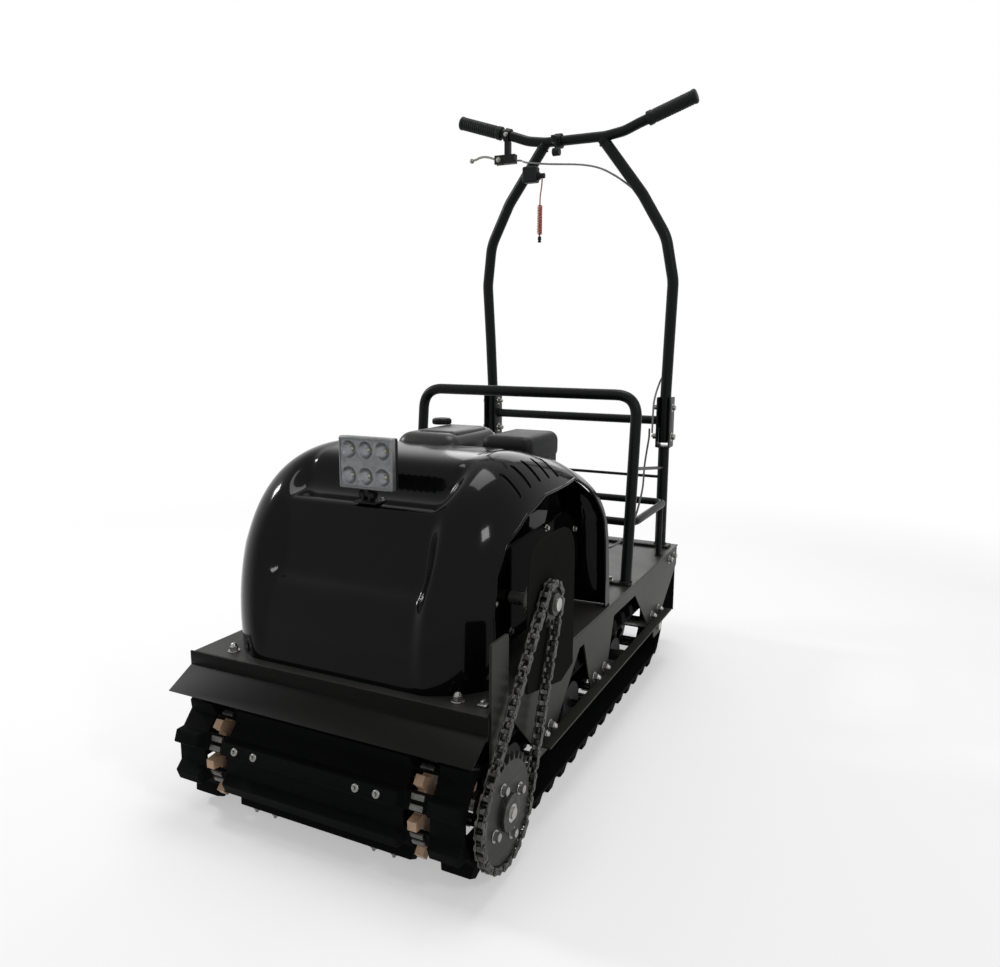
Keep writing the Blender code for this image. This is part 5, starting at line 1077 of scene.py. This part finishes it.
class SNOWTOW_OT_rear_frame(bpy.types.Operator):
    """Build the rear posts with their channel brackets, rods and bolts"""
    bl_idname = "snowtow.rear_frame"
    bl_label = "Rear frame"

    def execute(self, context):
        bead = sizes().weld_bead
        x, y, base = 0.2220, 0.5000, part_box("rear_frame")[0][2]
        bottom, top, radius, wall = 0.4765, 0.5920, 0.0125, 0.003
        fold, clamp, cross = 0.5010, 0.5680, 0.5380
        half = radius + 0.0006 + wall
        inside = half - 0.001
        bm, welds, bolts = bmesh.new(), bmesh.new(), bmesh.new()
        add_block(bm, (-0.245, y - 0.020, base), (0.245, y + 0.014, base + 0.006), 0.0014)
        for name, side in SIDES:
            centre = side * x
            tube("post_" + name, [(centre, y, base + 0.002), (centre, y, bottom + 0.001)], radius,
                 resolution=8)
            for end in (-1, 1):
                start = centre + end * half if end < 0 else centre + half - wall
                outline = rounded_box((y - 0.018, bottom), (y + 0.021, top), 0.004, 4)
                add_plate(bm, outline, wall, facing_x(start), 0.0006)
                for z, flats in ((fold, 0.0125), (clamp, 0.0110)):
                    kind = "nut" if end * side < 0 else "bolt"
                    add_bolt(bolts, (centre + end * half, y, z), (end, 0, 0), flats, kind)
            for low, high in (((y + 0.0128, fold + 0.0185), (y + 0.021, top - 0.0005)),
                              ((y - 0.0175, bottom), (y + 0.0205, bottom + 0.003))):
                add_block(bm, (centre - inside, *low), (centre + inside, *high), 0.0008)
            add_weld(welds, (centre, y, base + 0.0066), UP, radius + 0.0007, bead)
            add_weld(welds, (centre, y, bottom - 0.0005), UP, radius + 0.0005, bead)
            add_weld(welds, (side * (x - half - 0.0005), y, cross), (1, 0, 0), 0.0107, bead, 20)
            tube("side_rod_" + name, [(side * 0.243, 0.2090, 0.468), (centre, y, 0.428)], 0.0035)
        reach = x - inside
        tube("cross_tube", [(-reach, y, cross), (reach, y, cross)], 0.010, resolution=7)
        tube("cross_rod", [(-x, y, 0.406), (x, y, 0.406)], 0.0035)
        put("rear_brackets", bm, "bracket_black", replaces="rear_frame")
        put("rear_welds", welds, "powder_black")
        put_bolts("rear_bolts", bolts)
        return {"FINISHED"}


COLUMN_PATH = [(0.222, 0.500, 0.4875), (0.222, 0.500, 0.600), (0.226, 0.496, 0.720), (0.231, 0.490, 0.850),
               (0.218, 0.485, 0.945), (0.168, 0.479, 1.038), (0.078, 0.471, 1.157)]
BAR_PATH = [(0.072, 0.470, 1.166), (0.115, 0.468, 1.172), (0.148, 0.4652, 1.1838), (0.2865, 0.456, 1.2275)]


class SNOWTOW_OT_handlebar(bpy.types.Operator):
    """Build the column tubes, the bar and the ribbed grips"""
    bl_idname = "snowtow.handlebar"
    bl_label = "Handlebar"

    def execute(self, context):
        welds = bmesh.new()
        for name, side in SIDES:
            lean = 0.010 if side > 0 else 0.0
            path = [(side * x - lean * min(max((z - 0.85) / 0.19, 0.0), 1.0), y, z)
                    for x, y, z in COLUMN_PATH]
            path = rounded(path, 0.110, 10)
            path[-1] = path[-1] + (path[-1] - path[-4]).normalized() * 0.0075
            tube("column_" + name, path, 0.0125, resolution=8, body="column")
            heading = path[-1] - path[-4]
            add_weld(welds, path[-1] - heading.normalized() * 0.0105, heading, 0.0128,
                     sizes().weld_bead * 1.1, 24)
        right = [Vector(p) for p in BAR_PATH]
        line = (right[-1] - right[-2]).normalized()
        right[-1] = right[-1] - line * 0.004
        points = [Vector((-p.x, p.y, p.z)) for p in reversed(right)] + right
        points[-1] = points[-1] - line * 0.012
        tube("bar_tube", rounded(points, 0.100, 10), 0.011, resolution=8, replaces="handlebar_frame")
        put("column_welds", welds, "powder_black", "column")
        for name, side in SIDES:
            self.grip(name, side, line)
        return {"FINISHED"}

    def grip(self, name, side, line):
        """A ribbed rubber grip with a flange and a rounded end."""
        half, radius, rib, count = 0.0555, 0.0143, sizes().grip_rib, 15
        inset = 0.012 if side > 0 else 0.0
        middle = Vector(BAR_PATH[-1]) - line * (half + inset)
        profile = [(0, half), (radius * 0.55, half - 0.0002), (radius - 0.0015, half - 0.0010),
                   (radius + 0.0008, half - 0.0030), (radius + 0.0010, half - 0.0070),
                   (radius + 0.0004, half - 0.0095)]
        start, stop = half - 0.0120, -half + 0.0150
        groove, crest = radius - rib * 0.6, radius + rib * 0.35
        for k in range(count):
            high = start + (stop - start) * k / count
            low = start + (stop - start) * (k + 1) / count
            gap = high - low
            profile += [(groove, high - gap * 0.08), (crest, high - gap * 0.22), (crest, high - gap * 0.78),
                        (groove, high - gap * 0.92)]
        profile += [(radius, -half + 0.0125), (radius + 0.0010, -half + 0.0100),
                    (radius + 0.0012, -half + 0.0015), (radius + 0.0008, -half), (0.0113, -half),
                    (0.0113, half - 0.0037), (0, half - 0.0037)]
        bm = bmesh.new()
        place = at((side * middle.x, middle.y, middle.z), (side * line.x, line.y, line.z))
        add_turned(bm, profile, place, 36)
        put("grip_rubber_" + name, bm, "grip_rubber", replaces="grip_" + name, smooth=50.0)


class SNOWTOW_OT_belt(bpy.types.Operator):
    """Build the track belt's rounded lugs, its steel clips and its studs"""
    bl_idname = "snowtow.belt"
    bl_label = "Track belt"

    def execute(self, context):
        refine("track_belt", "belt_rubber", sizes().lug_edge, 2, 40.0)
        pitch, teeth, thick, lug, steel = 0.052, 9, 0.005, 0.0175, sizes().clip_steel
        _, front, axle_z = centre_of("drive_axle")
        rear = centre_of("idler_axle")[1]
        radius = teeth * pitch / (2 * math.pi)
        loop = Loop(Vector((front, axle_z)), radius, Vector((rear, axle_z)), radius)
        clips, studs = bmesh.new(), bmesh.new()
        across = Vector((1, 0, 0))
        top = thick / 2 + lug - 0.0002
        for k in range(round(loop.total / pitch)):
            start, stop = (Vector((0, *loop.point((k + part) * pitch + 1e-9))) for part in (0, 0.5))
            along = (stop - start).normalized()
            axes = Matrix((across, along, across.cross(along))).transposed().to_4x4()
            place = Matrix.Translation((start + stop) / 2) @ axes
            for x in (-0.177, 0.177):
                for y in (-0.0068, 0.0068):
                    add_block(clips, (x - 0.0105, y - 0.0042, -0.0035),
                              (x + 0.0105, y + 0.0042, thick / 2 + steel * 2.2), steel, 2, place)
            for x in (-0.127, -0.091, 0.088, 0.122) if k % 2 == 0 else ():
                profile = [(0.0062, -0.001), (0.0062, 0.0008), (0.0046, 0.0022), (0.0030, 0.0024),
                           (0.0020, 0.0052), (0, 0.0058)]
                add_turned(studs, profile, place @ Matrix.Translation((x, 0, top)), 10)
        put("belt_clips", clips, "clip_steel", slot="bare_steel", smooth=30.0)
        put("belt_studs", studs, "lever_steel", slot="bare_steel", smooth=50.0)
        return {"FINISHED"}


class SNOWTOW_OT_chain(bpy.types.Operator):
    """Build the roller chain link by link and finish its two toothed wheels"""
    bl_idname = "snowtow.chain"
    bl_label = "Roller chain"

    def execute(self, context):
        pitch, links, wheel_teeth, pinion_teeth = 0.015875, 58, 30, 12
        big, small = (Vector(centre_of(node)[1:]) for node in ("drive_axle", "jackshaft"))
        wheel, pinion = (pitch * teeth / (2 * math.pi) for teeth in (wheel_teeth, pinion_teeth))
        loop = Loop(big, wheel, small, pinion, links * pitch)
        x = centre_of("drive_chain")[0]
        plates, rollers = bmesh.new(), bmesh.new()
        plate = 0.0017
        half_profile = [(0, 0.0078), (0.0021, 0.0078), (0.0024, 0.0072), (0.0024, 0.0034), (0.0048, 0.0033),
                        (0.0051, 0.0029)]
        profile = [(a, -b) for a, b in half_profile] + half_profile[::-1]
        for k in range(links):
            start, stop = loop.point(k * pitch), loop.point((k + 1) * pitch)
            middle = (start + stop) / 2
            along = (stop - start).normalized()
            matrix = Matrix(((0, 0, 1, x), (along.x, -along.y, 0, middle.x), (along.y, along.x, 0, middle.y),
                             (0, 0, 0, 1)))
            inner_face = 0.0053 if k % 2 else 0.0035
            outline = self.link((stop - start).length / 2)
            for base in (-inner_face - plate, inner_face):
                add_plate(plates, outline, plate, matrix @ Matrix.Translation((0, 0, base)), 0.0004, 1)
            add_turned(rollers, profile, at((x, start.x, start.y), (1, 0, 0)), 12)
        put("chain_plates", plates, "chain_steel", replaces="drive_chain", smooth=40.0)
        put("chain_rollers", rollers, "roller_steel", like="drive_chain", smooth=40.0)
        refine("chain_wheel", "wheel_steel", 0.0005)
        refine("chain_pinion", "wheel_steel", 0.0005)
        self.hub(big)
        return {"FINISHED"}

    def link(self, half):
        """Outline of one link plate, waisted between its two round ends."""
        radius, waist = 0.0058, 0.0043
        turns = map(math.radians, range(-75, 76, 30))
        arc = [(half + radius * math.cos(a), radius * math.sin(a)) for a in turns]
        return [*arc, (0, waist), *((-a, -b) for a, b in arc), (0, -waist)]

    def hub(self, centre):
        """The heads of the four bolts that hold the large chain wheel to its hub."""
        hub_proud, reach = 0.0072, 0.041
        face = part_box("chain_wheel")[1][0] - hub_proud
        bm = bmesh.new()
        for k in range(4):
            spot = spoke(centre, reach, math.radians(20 + 90 * k))
            add_bolt(bm, (face, *spot), (1, 0, 0), 0.0108)
        put("wheel_bolts", bm, "zinc_steel", like="chain_wheel")


class SNOWTOW_OT_lamp(bpy.types.Operator):
    """Build the work light with its six reflectors, lens, fins and stalk"""
    bl_idname = "snowtow.lamp"
    bl_label = "Work light"

    def execute(self, context):
        low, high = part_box("lamp_head")
        post_x = (low[0] + high[0]) / 2
        x, half_x = post_x + 0.0050, (high[0] - low[0]) / 2
        front, bottom, top = low[1], 0.506, high[2] - 0.0050
        y, pivot_z = -0.380, 0.4965
        dish = sizes().reflector

        def slab(bm, inset, start, stop, edge, segments):
            """A block as tall and wide as the lamp's face, less an inset all round."""
            add_block(bm, (x - half_x + inset, start, bottom + inset),
                      (x + half_x - inset, stop, top - inset), edge, segments)

        bm = bmesh.new()
        slab(bm, 0.0008, front + 0.0112, y + 0.006, 0.0030, 3)
        for k in range(7):
            spot = x - 0.036 + 0.012 * k
            add_block(bm, (spot - 0.0012, y + 0.004, bottom + 0.007), (spot + 0.0012, y + 0.016, top - 0.007),
                      0.0006, 1)
        add_block(bm, (post_x - 0.0035, y - 0.005, pivot_z), (post_x + 0.0035, y + 0.005, bottom + 0.004),
                  0.0006, 1)
        profile = [(0, -0.0035), (0.0050, -0.0035), (0.0050, 0.0035), (0, 0.0035)]
        add_turned(bm, profile, at((post_x, y, pivot_z), (1, 0, 0)), 24)
        put("lamp_housing", bm, "matt_plastic", replaces="lamp_head")
        bm, recess = bmesh.new(), bmesh.new()
        slab(bm, 0.0, front, front + 0.0122, 0.0030, 3)
        face = temporary("face", bm)
        slab(recess, 0.0035, front - 0.002, front + 0.0014, 0.0004, 1)
        tools = [temporary("recess", recess)]
        dishes, chips = bmesh.new(), bmesh.new()
        for a, b in ((a, b) for a in (-1, 0, 1) for b in (-1, 1)):
            spot_x, spot_z = x + a * 0.0290, (bottom + top) / 2 + b * 0.0192
            bm = bmesh.new()
            profile = [(0, -0.01), (dish * 0.93, -0.01), (dish * 0.93, 0.02), (0, 0.02)]
            add_turned(bm, profile, at((spot_x, front + 0.003, spot_z), (0, 1, 0)), 32)
            tools.append(temporary("well", bm))
            place = at((spot_x, front + 0.0016, spot_z), (0, 1, 0))
            profile = [(0.96, 0.0), (0.90, 0.0004), (0.82, 0.0026), (0.62, 0.0058), (0.36, 0.0082),
                       (0.24, 0.0088), (0.24, 0.0098), (0.42, 0.0096), (0.70, 0.0070), (0.90, 0.0034),
                       (0.96, 0.0010), (0.96, 0.0)]
            add_turned(dishes, [(dish * a, b) for a, b in profile], place, 32)
            profile = [(0, 0.0072), (0.0012, 0.0073), (0.0022, 0.0080), (0.0025, 0.0092), (0, 0.0094)]
            add_turned(chips, profile, place, 16)
        carve(face, tools)
        mesh = face.data
        bpy.data.objects.remove(face, do_unlink=True)
        put("lamp_bezel", mesh, "lamp_silver", like="lamp_head")
        put("lamp_reflectors", dishes, "reflector_chrome", like="lamp_head", smooth=50.0)
        put("lamp_chips", chips, "lamp_chip", like="lamp_head")
        bm = bmesh.new()
        slab(bm, 0.0037, front + 0.0002, front + 0.0012, 0.0003, 1)
        put("lamp_glass", bm, "lamp_lens", like="lamp_head")
        self.stalk(post_x, y, pivot_z)
        return {"FINISHED"}

    def stalk(self, x, y, pivot_z):
        """Stalk with its foot, ears and two round knobs."""
        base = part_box("lamp_bracket")[0][2]
        bm, bolts = bmesh.new(), bmesh.new()
        add_block(bm, (x - 0.020, y - 0.010, base), (x + 0.020, y + 0.020, base + 0.0025), 0.0010)
        add_block(bm, (x - 0.0080, y - 0.0070, base), (x + 0.0080, y + 0.0070, base + 0.0042), 0.0008)
        foot, top, thick = base + 0.001, 0.5025, 0.0040
        outline = rounded([(y - 0.0065, foot, 0), (y + 0.0065, foot, 0), (y + 0.0062, top, 0),
                           (y - 0.0062, top, 0)], 0.0058, 6, True)
        knob = [(0, 0), (0.0062, 0), (0.0066, 0.0008), (0.0066, 0.0046), (0.0058, 0.0056), (0, 0.0058)]
        for _, side in SIDES:
            start = x + side * 0.0038
            add_plate(bm, outline, thick, facing_x(start if side > 0 else start - thick), 0.0005)
            add_turned(bm, knob, at((x + side * 0.0078, y, pivot_z), (side, 0, 0)), 20)
            add_bolt(bolts, (x + side * 0.0145, y + 0.014, base + 0.0025), UP, 0.0055)
        put("lamp_stalk", bm, "matt_plastic", replaces="lamp_bracket")
        put_bolts("lamp_bolts", bolts)


class SNOWTOW_OT_engine(bpy.types.Operator):
    """Build the tank, the filter cover, the cap and the engine's own detail"""
    bl_idname = "snowtow.engine"
    bl_label = "Engine"

    def execute(self, context):
        self.tank()
        self.filter_cover()
        self.cap()
        refine("engine_block", "engine_alloy", sizes().casting_edge)
        refine("muffler", "stove_black", 0.0020)
        self.guard()
        refine("recoil_housing", "matt_plastic", 0.0012)
        refine("starter_handle", "matt_plastic", 0.0012)
        refine("drive_cover", "cover_black", 0.0040, 5)
        self.recoil()
        self.bolts()
        return {"FINISHED"}

    def tank(self):
        """Fuel tank with its seam and its raised top."""
        bm, bottom = bmesh.new(), 0.490
        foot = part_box("fuel_tank")[0][2]
        low, high = (Vector(corner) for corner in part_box("fuel_tank"))
        low, high = low + Vector((0.020, 0.006, 0)), high - Vector((0.010, 0.006, 0.003))
        add_block(bm, (low.x, low.y, bottom), high, 0.027, 8)
        add_block(bm, (low.x + 0.030, low.y + 0.030, high.z - 0.02),
                  (high.x - 0.012, high.y - 0.030, high.z + 0.0028), 0.010, 4)
        add_block(bm, (-0.055, -0.130, foot), (0.025, -0.070, 0.500), 0.004)
        seam = rounded_box((low.x - 0.002, low.y - 0.002), (high.x + 0.002, high.y + 0.002), 0.030, 8)
        add_plate(bm, seam, 0.0030, Matrix.Translation((0, 0, (bottom + high.z) / 2 - 0.006)), 0.0008)
        put("tank_shell", bm, "tank_plastic", replaces="fuel_tank")

    def filter_cover(self):
        """Air filter cover in two steps, and its clip."""
        bm, bottom = bmesh.new(), 0.486
        low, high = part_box("air_filter_cover")
        start = Vector((low[0] + 0.016, low[1] + 0.012, 0))
        stop = Vector((high[0] - 0.011, high[1] - 0.012, 0))
        add_block(bm, (start.x, start.y, bottom + 0.024), (stop.x, stop.y, high[2] - 0.0065), 0.0165, 7)
        add_block(bm, (start.x + 0.003, start.y + 0.003, bottom + 0.003),
                  (stop.x - 0.003, stop.y - 0.003, bottom + 0.046), 0.012, 5)
        add_block(bm, (0.087, -0.042, low[2]), (0.106, -0.004, 0.500), 0.003)
        put("filter_shell", bm, "matt_plastic", replaces="air_filter_cover")
        bm = bmesh.new()
        middle = Vector(((start.x + stop.x) / 2 + 0.012, start.y, bottom + 0.040))
        for back, ahead in (((0.0045, 0.0022, 0.009), (0.0045, 0.002, 0.009)),
                            ((0.0032, 0.0042, 0.003), (0.0032, 0.0, 0.007))):
            add_block(bm, middle - Vector(back), middle + Vector(ahead), 0.0010)
        put("filter_clip", bm, "clip_steel", slot="zinc_steel")

    def cap(self):
        """Tank cap with its grip ribs."""
        bm, ribs = bmesh.new(), 18
        low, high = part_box("tank_cap")
        centre = Vector(((low[0] + high[0]) / 2, (low[1] + high[1]) / 2, low[2]))
        radius, height = (high[0] - low[0]) / 2 * 0.84, (high[2] - low[2]) * 0.82
        profile = [(0, 0), (0.92, 0), (0.94, 0.12), (0.94, 0.62), (0.86, 0.80), (0.60, 0.86), (0, 0.90)]
        add_turned(bm, [(radius * a, height * b) for a, b in profile], Matrix.Translation(centre), 36)
        for k in range(ribs):
            turn = Matrix.Translation(centre) @ Matrix.Rotation(2 * math.pi * k / ribs, 4, "Z")
            add_block(bm, (radius * 0.90, -0.0014, height * 0.10), (radius, 0.0014, height * 0.64),
                      0.0006, 1, turn)
        put("cap_shell", bm, "matt_plastic", replaces="tank_cap")

    def guard(self):
        """Heat guard on the muffler with five pressed ribs."""
        bm = bmesh.new()
        low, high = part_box("muffler")
        outline = rounded_box((low[0] - 0.006, low[2] + 0.004), (high[0] + 0.026, high[2] + 0.010), 0.012, 5)
        add_plate(bm, outline, 0.0018, facing_y(high[1] + 0.0005), 0.0005)
        for k in range(5):
            x = low[0] + 0.014 + k * 0.034
            add_block(bm, (x, high[1] + 0.001, low[2] + 0.018),
                      (x + 0.012, high[1] + 0.0045, high[2] - 0.006), 0.0020)
        put("muffler_guard", bm, "stove_black", like="muffler")

    def recoil(self):
        """Ribs and screws on the recoil starter."""
        bm, ribs, reach = bmesh.new(), 12, 0.086
        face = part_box("recoil_housing")[0][0]
        _, y, z = centre_of("recoil_housing")
        for k in range(ribs):
            turn = Matrix.Translation((0, y, z)) @ Matrix.Rotation(2 * math.pi * k / ribs, 4, "X")
            add_block(bm, (face + 0.004, -0.0022, 0.052), (face + 0.0140, 0.0022, 0.080), 0.0010, 1, turn)
        for k in range(4):
            angle = math.pi / 4 + math.pi / 2 * k
            spot = (face + 0.021, y + reach * math.cos(angle), z + reach * math.sin(angle))
            add_bolt(bm, spot, (-1, 0, 0), 0.007)
        put("recoil_ribs", bm, "matt_plastic", like="recoil_housing")

    def bolts(self):
        """Bolts of the engine block and of the drive cover."""
        bm = bmesh.new()
        low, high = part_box("engine_block")
        for xs, ys, z, flats in (((-0.045, 0.055), (-0.220, -0.080), high[2], 0.009),
                                 ((-0.092, 0.092), (-0.215, 0.035), low[2] + 0.014, 0.011)):
            for x in xs:
                for y in ys:
                    add_bolt(bm, (x, y, z), UP, flats)
        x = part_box("drive_cover")[1][0] - 0.0004
        for y, z in ((-0.285, 0.285), (-0.340, 0.345), (-0.150, 0.268), (-0.035, 0.290), (-0.022, 0.390),
                     (-0.150, 0.418)):
            add_bolt(bm, (x, y, z), (1, 0, 0), 0.007)
        put_bolts("engine_bolts", bm)


LEVER_PATH = [(0.006, 0, -0.003), (-0.008, 0, 0.0015), (-0.022, 0, 0.0070), (-0.038, 0, 0.0108),
              (-0.052, 0, 0.0102), (-0.062, 0, 0.0068), (-0.070, 0, 0.0055)]
# Routes of the brake cable's two lengths, as the solids have them, apart from the upper one down the column
UPPER_CABLE = [
    (-0.1452, 0.4640, 1.132), (-0.1332, 0.4640, 1.131), (-0.110, 0.455, 1.1225), (-0.052, 0.448, 1.1135),
    (0.020, 0.449, 1.1065), (0.062, 0.455, 1.0975), (0.092, 0.465, 1.083), (0.118, 0.480, 1.065),
    (0.1420, 0.4938, 1.043), (0.1690, 0.4975, 1.010), (0.2070, 0.5000, 0.944), (0.2255, 0.5053, 0.852),
    (0.2215, 0.5113, 0.722), (0.2165, 0.5150, 0.660), (0.2040, 0.5060, 0.622), (0.1990, 0.4870, 0.585),
    (0.1990, 0.4790, 0.545), (0.1990, 0.4790, 0.510),
]
LOWER_CABLE = [
    (0.1922, 0.479, 0.520), (0.1922, 0.479, 0.500), (0.1922, 0.450, 0.440), (0.2080, 0.3807, 0.390),
    (0.2180, 0.2804, 0.335), (0.2180, 0.1906, 0.318), (0.2100, 0.1003, 0.325), (0.1775, 0.040, 0.352),
    (0.1775, 0.0013, 0.352),
]


class SNOWTOW_OT_controls(bpy.types.Operator):
    """Build the brake lever, the cables, the stop switch and the throttle"""
    bl_idname = "snowtow.controls"
    bl_label = "Controls"

    def execute(self, context):
        refine("brake_bracket", "matt_plastic", 0.0012)
        pivot = Vector((-0.1875, 0.4640, 1.1360))
        path = smooth_path([pivot + Vector(p) for p in LEVER_PATH], 6)
        tube("lever_blade", path, 0.0027, "lever_steel", replaces="brake_lever")
        bm = bmesh.new()
        ball = Matrix.Translation(pivot + Vector((-0.0735, 0, 0.0045)))
        bmesh.ops.create_uvsphere(bm, u_segments=20, v_segments=12, radius=0.0058, matrix=ball)
        profile = [(0.0036, -0.0037), (0.0072, -0.0037), (0.0076, -0.0032), (0.0076, 0.0032),
                   (0.0072, 0.0037), (0.0036, 0.0037), (0.0036, -0.0037)]
        add_turned(bm, profile, at(pivot, (0, 1, 0)), 24)
        put("lever_hub", bm, "lever_steel", like="brake_lever")
        bm = bmesh.new()
        add_bolt(bm, pivot + Vector((0, -0.0078, 0)), (0, -1, 0), 0.0070)
        add_bolt(bm, (-0.1655, 0.4490, 1.1893), (0, -1, 0), 0.0060)
        put_bolts("lever_bolts", bm, "column")
        radius = 0.0022
        for name, points, material in (("upper", UPPER_CABLE, "cable_grey"),
                                       ("lower", LOWER_CABLE, "cable_sheath")):
            path = [Vector(points[0]), *smooth_path(points[1:-1], 8), Vector(points[-1])]
            node = "brake_cable_" + name
            cord = tube(node + "_run", path, radius, material, resolution=4, replaces=node)
        for node, edge, segments in (("kill_switch", 0.0030, 3), ("kill_key", 0.0008, 2),
                                     ("throttle_clamp", 0.0016, 3), ("throttle_lever", 0.0014, 3)):
            refine(node, "matt_plastic", edge, segments)
        return {"FINISHED"}


class SNOWTOW_OT_body(bpy.types.Operator):
    """Finish the deck, the bumper, the side frames, the plates, the flap and their bolts"""
    bl_idname = "snowtow.body"
    bl_label = "Deck and frames"

    def execute(self, context):
        edge, flats = sizes().plate_edge, sizes().bolt_flats
        refine("deck_plate", "deck_paint", edge)
        refine("front_bumper", "bumper_black", edge)
        for name, _ in SIDES:
            for node in ("side_frame_", "lower_rail_", "upright_"):
                refine(node + name, "olive_paint", edge)
        refine("jackshaft_plate", "grey_plate", edge)
        refine("snow_flap", "flap_rubber", 0.0010)
        refine("hitch_bracket", "olive_paint", edge)
        refine("hitch_pin", "zinc_steel", 0.0008)
        bm = bmesh.new()
        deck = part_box("deck_plate")[1][2]
        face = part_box("side_frame_right")[1][0]
        spots = [(-0.284, 0.131), (-0.254, 0.131), (-0.050, 0.131), (0.002, 0.131), (0.318, 0.131),
                 (0.370, 0.131), (0.455, 0.222), (0.495, 0.222)]
        for _, side in SIDES:
            add_bolt(bm, (side * 0.200, -0.447, deck), UP, 0.0115, "dome")
            for y, z in spots:
                add_bolt(bm, (side * face, y, z), (side, 0, 0), flats * 0.85, "dome" if z < 0.2 else "bolt")
        add_block(bm, (0.232, -0.452, deck), (0.246, -0.440, deck + 0.004), 0.0010)
        add_block(bm, (0.236, -0.450, deck + 0.003), (0.241, -0.442, deck + 0.009), 0.0010)
        put_bolts("frame_bolts", bm)
        ribs = bmesh.new()
        low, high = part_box("snow_flap")
        for z in (low[2] + 0.012 + 0.014 * k for k in range(9)):
            if z <= 0.172:
                add_block(ribs, (low[0] + 0.012, high[1] - 0.0004, z - 0.0012),
                          (high[0] - 0.012, high[1] + 0.0012, z + 0.0012), 0.0008, 1)
        put("flap_ribs", ribs, "flap_rubber", like="snow_flap")
        return {"FINISHED"}


# Width of the visible sprocket teeth as a share of the solid's
TOOTH_SHARE = 0.46


class SNOWTOW_OT_running_gear(bpy.types.Operator):
    """Finish the axles, bearings, bogies, idlers and the inner frame"""
    bl_idname = "snowtow.running_gear"
    bl_label = "Running gear"

    def execute(self, context):
        for node in ("drive_axle", "jackshaft", "idler_axle"):
            dress(node, "bare_steel")
        for name, _ in SIDES:
            node = "drive_sprocket_" + name
            wheel = refine(node, "sprocket_polymer", 0.0014)
            middle = centre_of(node)[0]
            for vert in wheel.data.vertices:
                vert.co.x = middle + (vert.co.x - middle) * TOOTH_SHARE
        for node in ("idler_wheel_left", "idler_wheel_right", "bogie_axle_1", "bogie_axle_2", "bogie_axle_3"):
            refine(node, "matt_plastic", 0.0012)
        for name, _ in SIDES:
            refine("drive_bearing_" + name, "engine_alloy", 0.0010)
        refine("jackshaft_bearing", "zinc_steel", 0.0008)
        refine("slide_frame", "bracket_black", 0.0005)
        return {"FINISHED"}


class SNOWTOW_OT_rest(bpy.types.Operator):
    """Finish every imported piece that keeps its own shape"""
    bl_idname = "snowtow.rest"
    bl_label = "Remaining pieces"

    def execute(self, context):
        for name, node in frame["nodes"].items():
            slot = slot_of(name)
            material = SLOT_FINISH.get(slot, slot)
            if material in MATERIALS and not node.hide_render:
                dress(name, material)
        return {"FINISHED"}


STEPS = [SNOWTOW_OT_stage, SNOWTOW_OT_hood, SNOWTOW_OT_hood_ends, SNOWTOW_OT_lamp, SNOWTOW_OT_rack,
         SNOWTOW_OT_rear_frame, SNOWTOW_OT_handlebar, SNOWTOW_OT_controls, SNOWTOW_OT_lanyard,
         SNOWTOW_OT_engine, SNOWTOW_OT_body, SNOWTOW_OT_belt, SNOWTOW_OT_chain, SNOWTOW_OT_running_gear,
         SNOWTOW_OT_rest]


class SNOWTOW_PT_panel(bpy.types.Panel):
    """List of the building steps, sizes and colours"""
    bl_idname = "SNOWTOW_PT_panel"
    bl_label = "Snow tow vehicle"
    bl_space_type = "VIEW_3D"
    bl_region_type = "UI"
    bl_category = "Snow tow"

    def draw(self, context):
        column = self.layout.column(align=True)
        for step in STEPS:
            column.operator(step.bl_idname)
        for group in (context.scene.snow_tow_sizes, context.scene.snow_tow_colours):
            block = self.layout.column(align=True)
            for name in group.__annotations__:
                block.prop(group, name)


CLASSES = [SnowTowSizes, SnowTowColours, *STEPS, SNOWTOW_PT_panel]


def register():
    """Register the classes and the settings."""
    for cls in CLASSES:
        bpy.utils.register_class(cls)
    bpy.types.Scene.snow_tow_sizes = bpy.props.PointerProperty(type=SnowTowSizes)
    bpy.types.Scene.snow_tow_colours = bpy.props.PointerProperty(type=SnowTowColours)


def unregister():
    """Remove the settings and the classes."""
    del bpy.types.Scene.snow_tow_colours
    del bpy.types.Scene.snow_tow_sizes
    for cls in reversed(CLASSES):
        bpy.utils.unregister_class(cls)


def main():
    """Build everything in order."""
    register()
    build_materials()
    for step in STEPS:
        group, name = step.bl_idname.split(".")
        getattr(getattr(bpy.ops, group), name)()


if __name__ == "__main__":
    main()
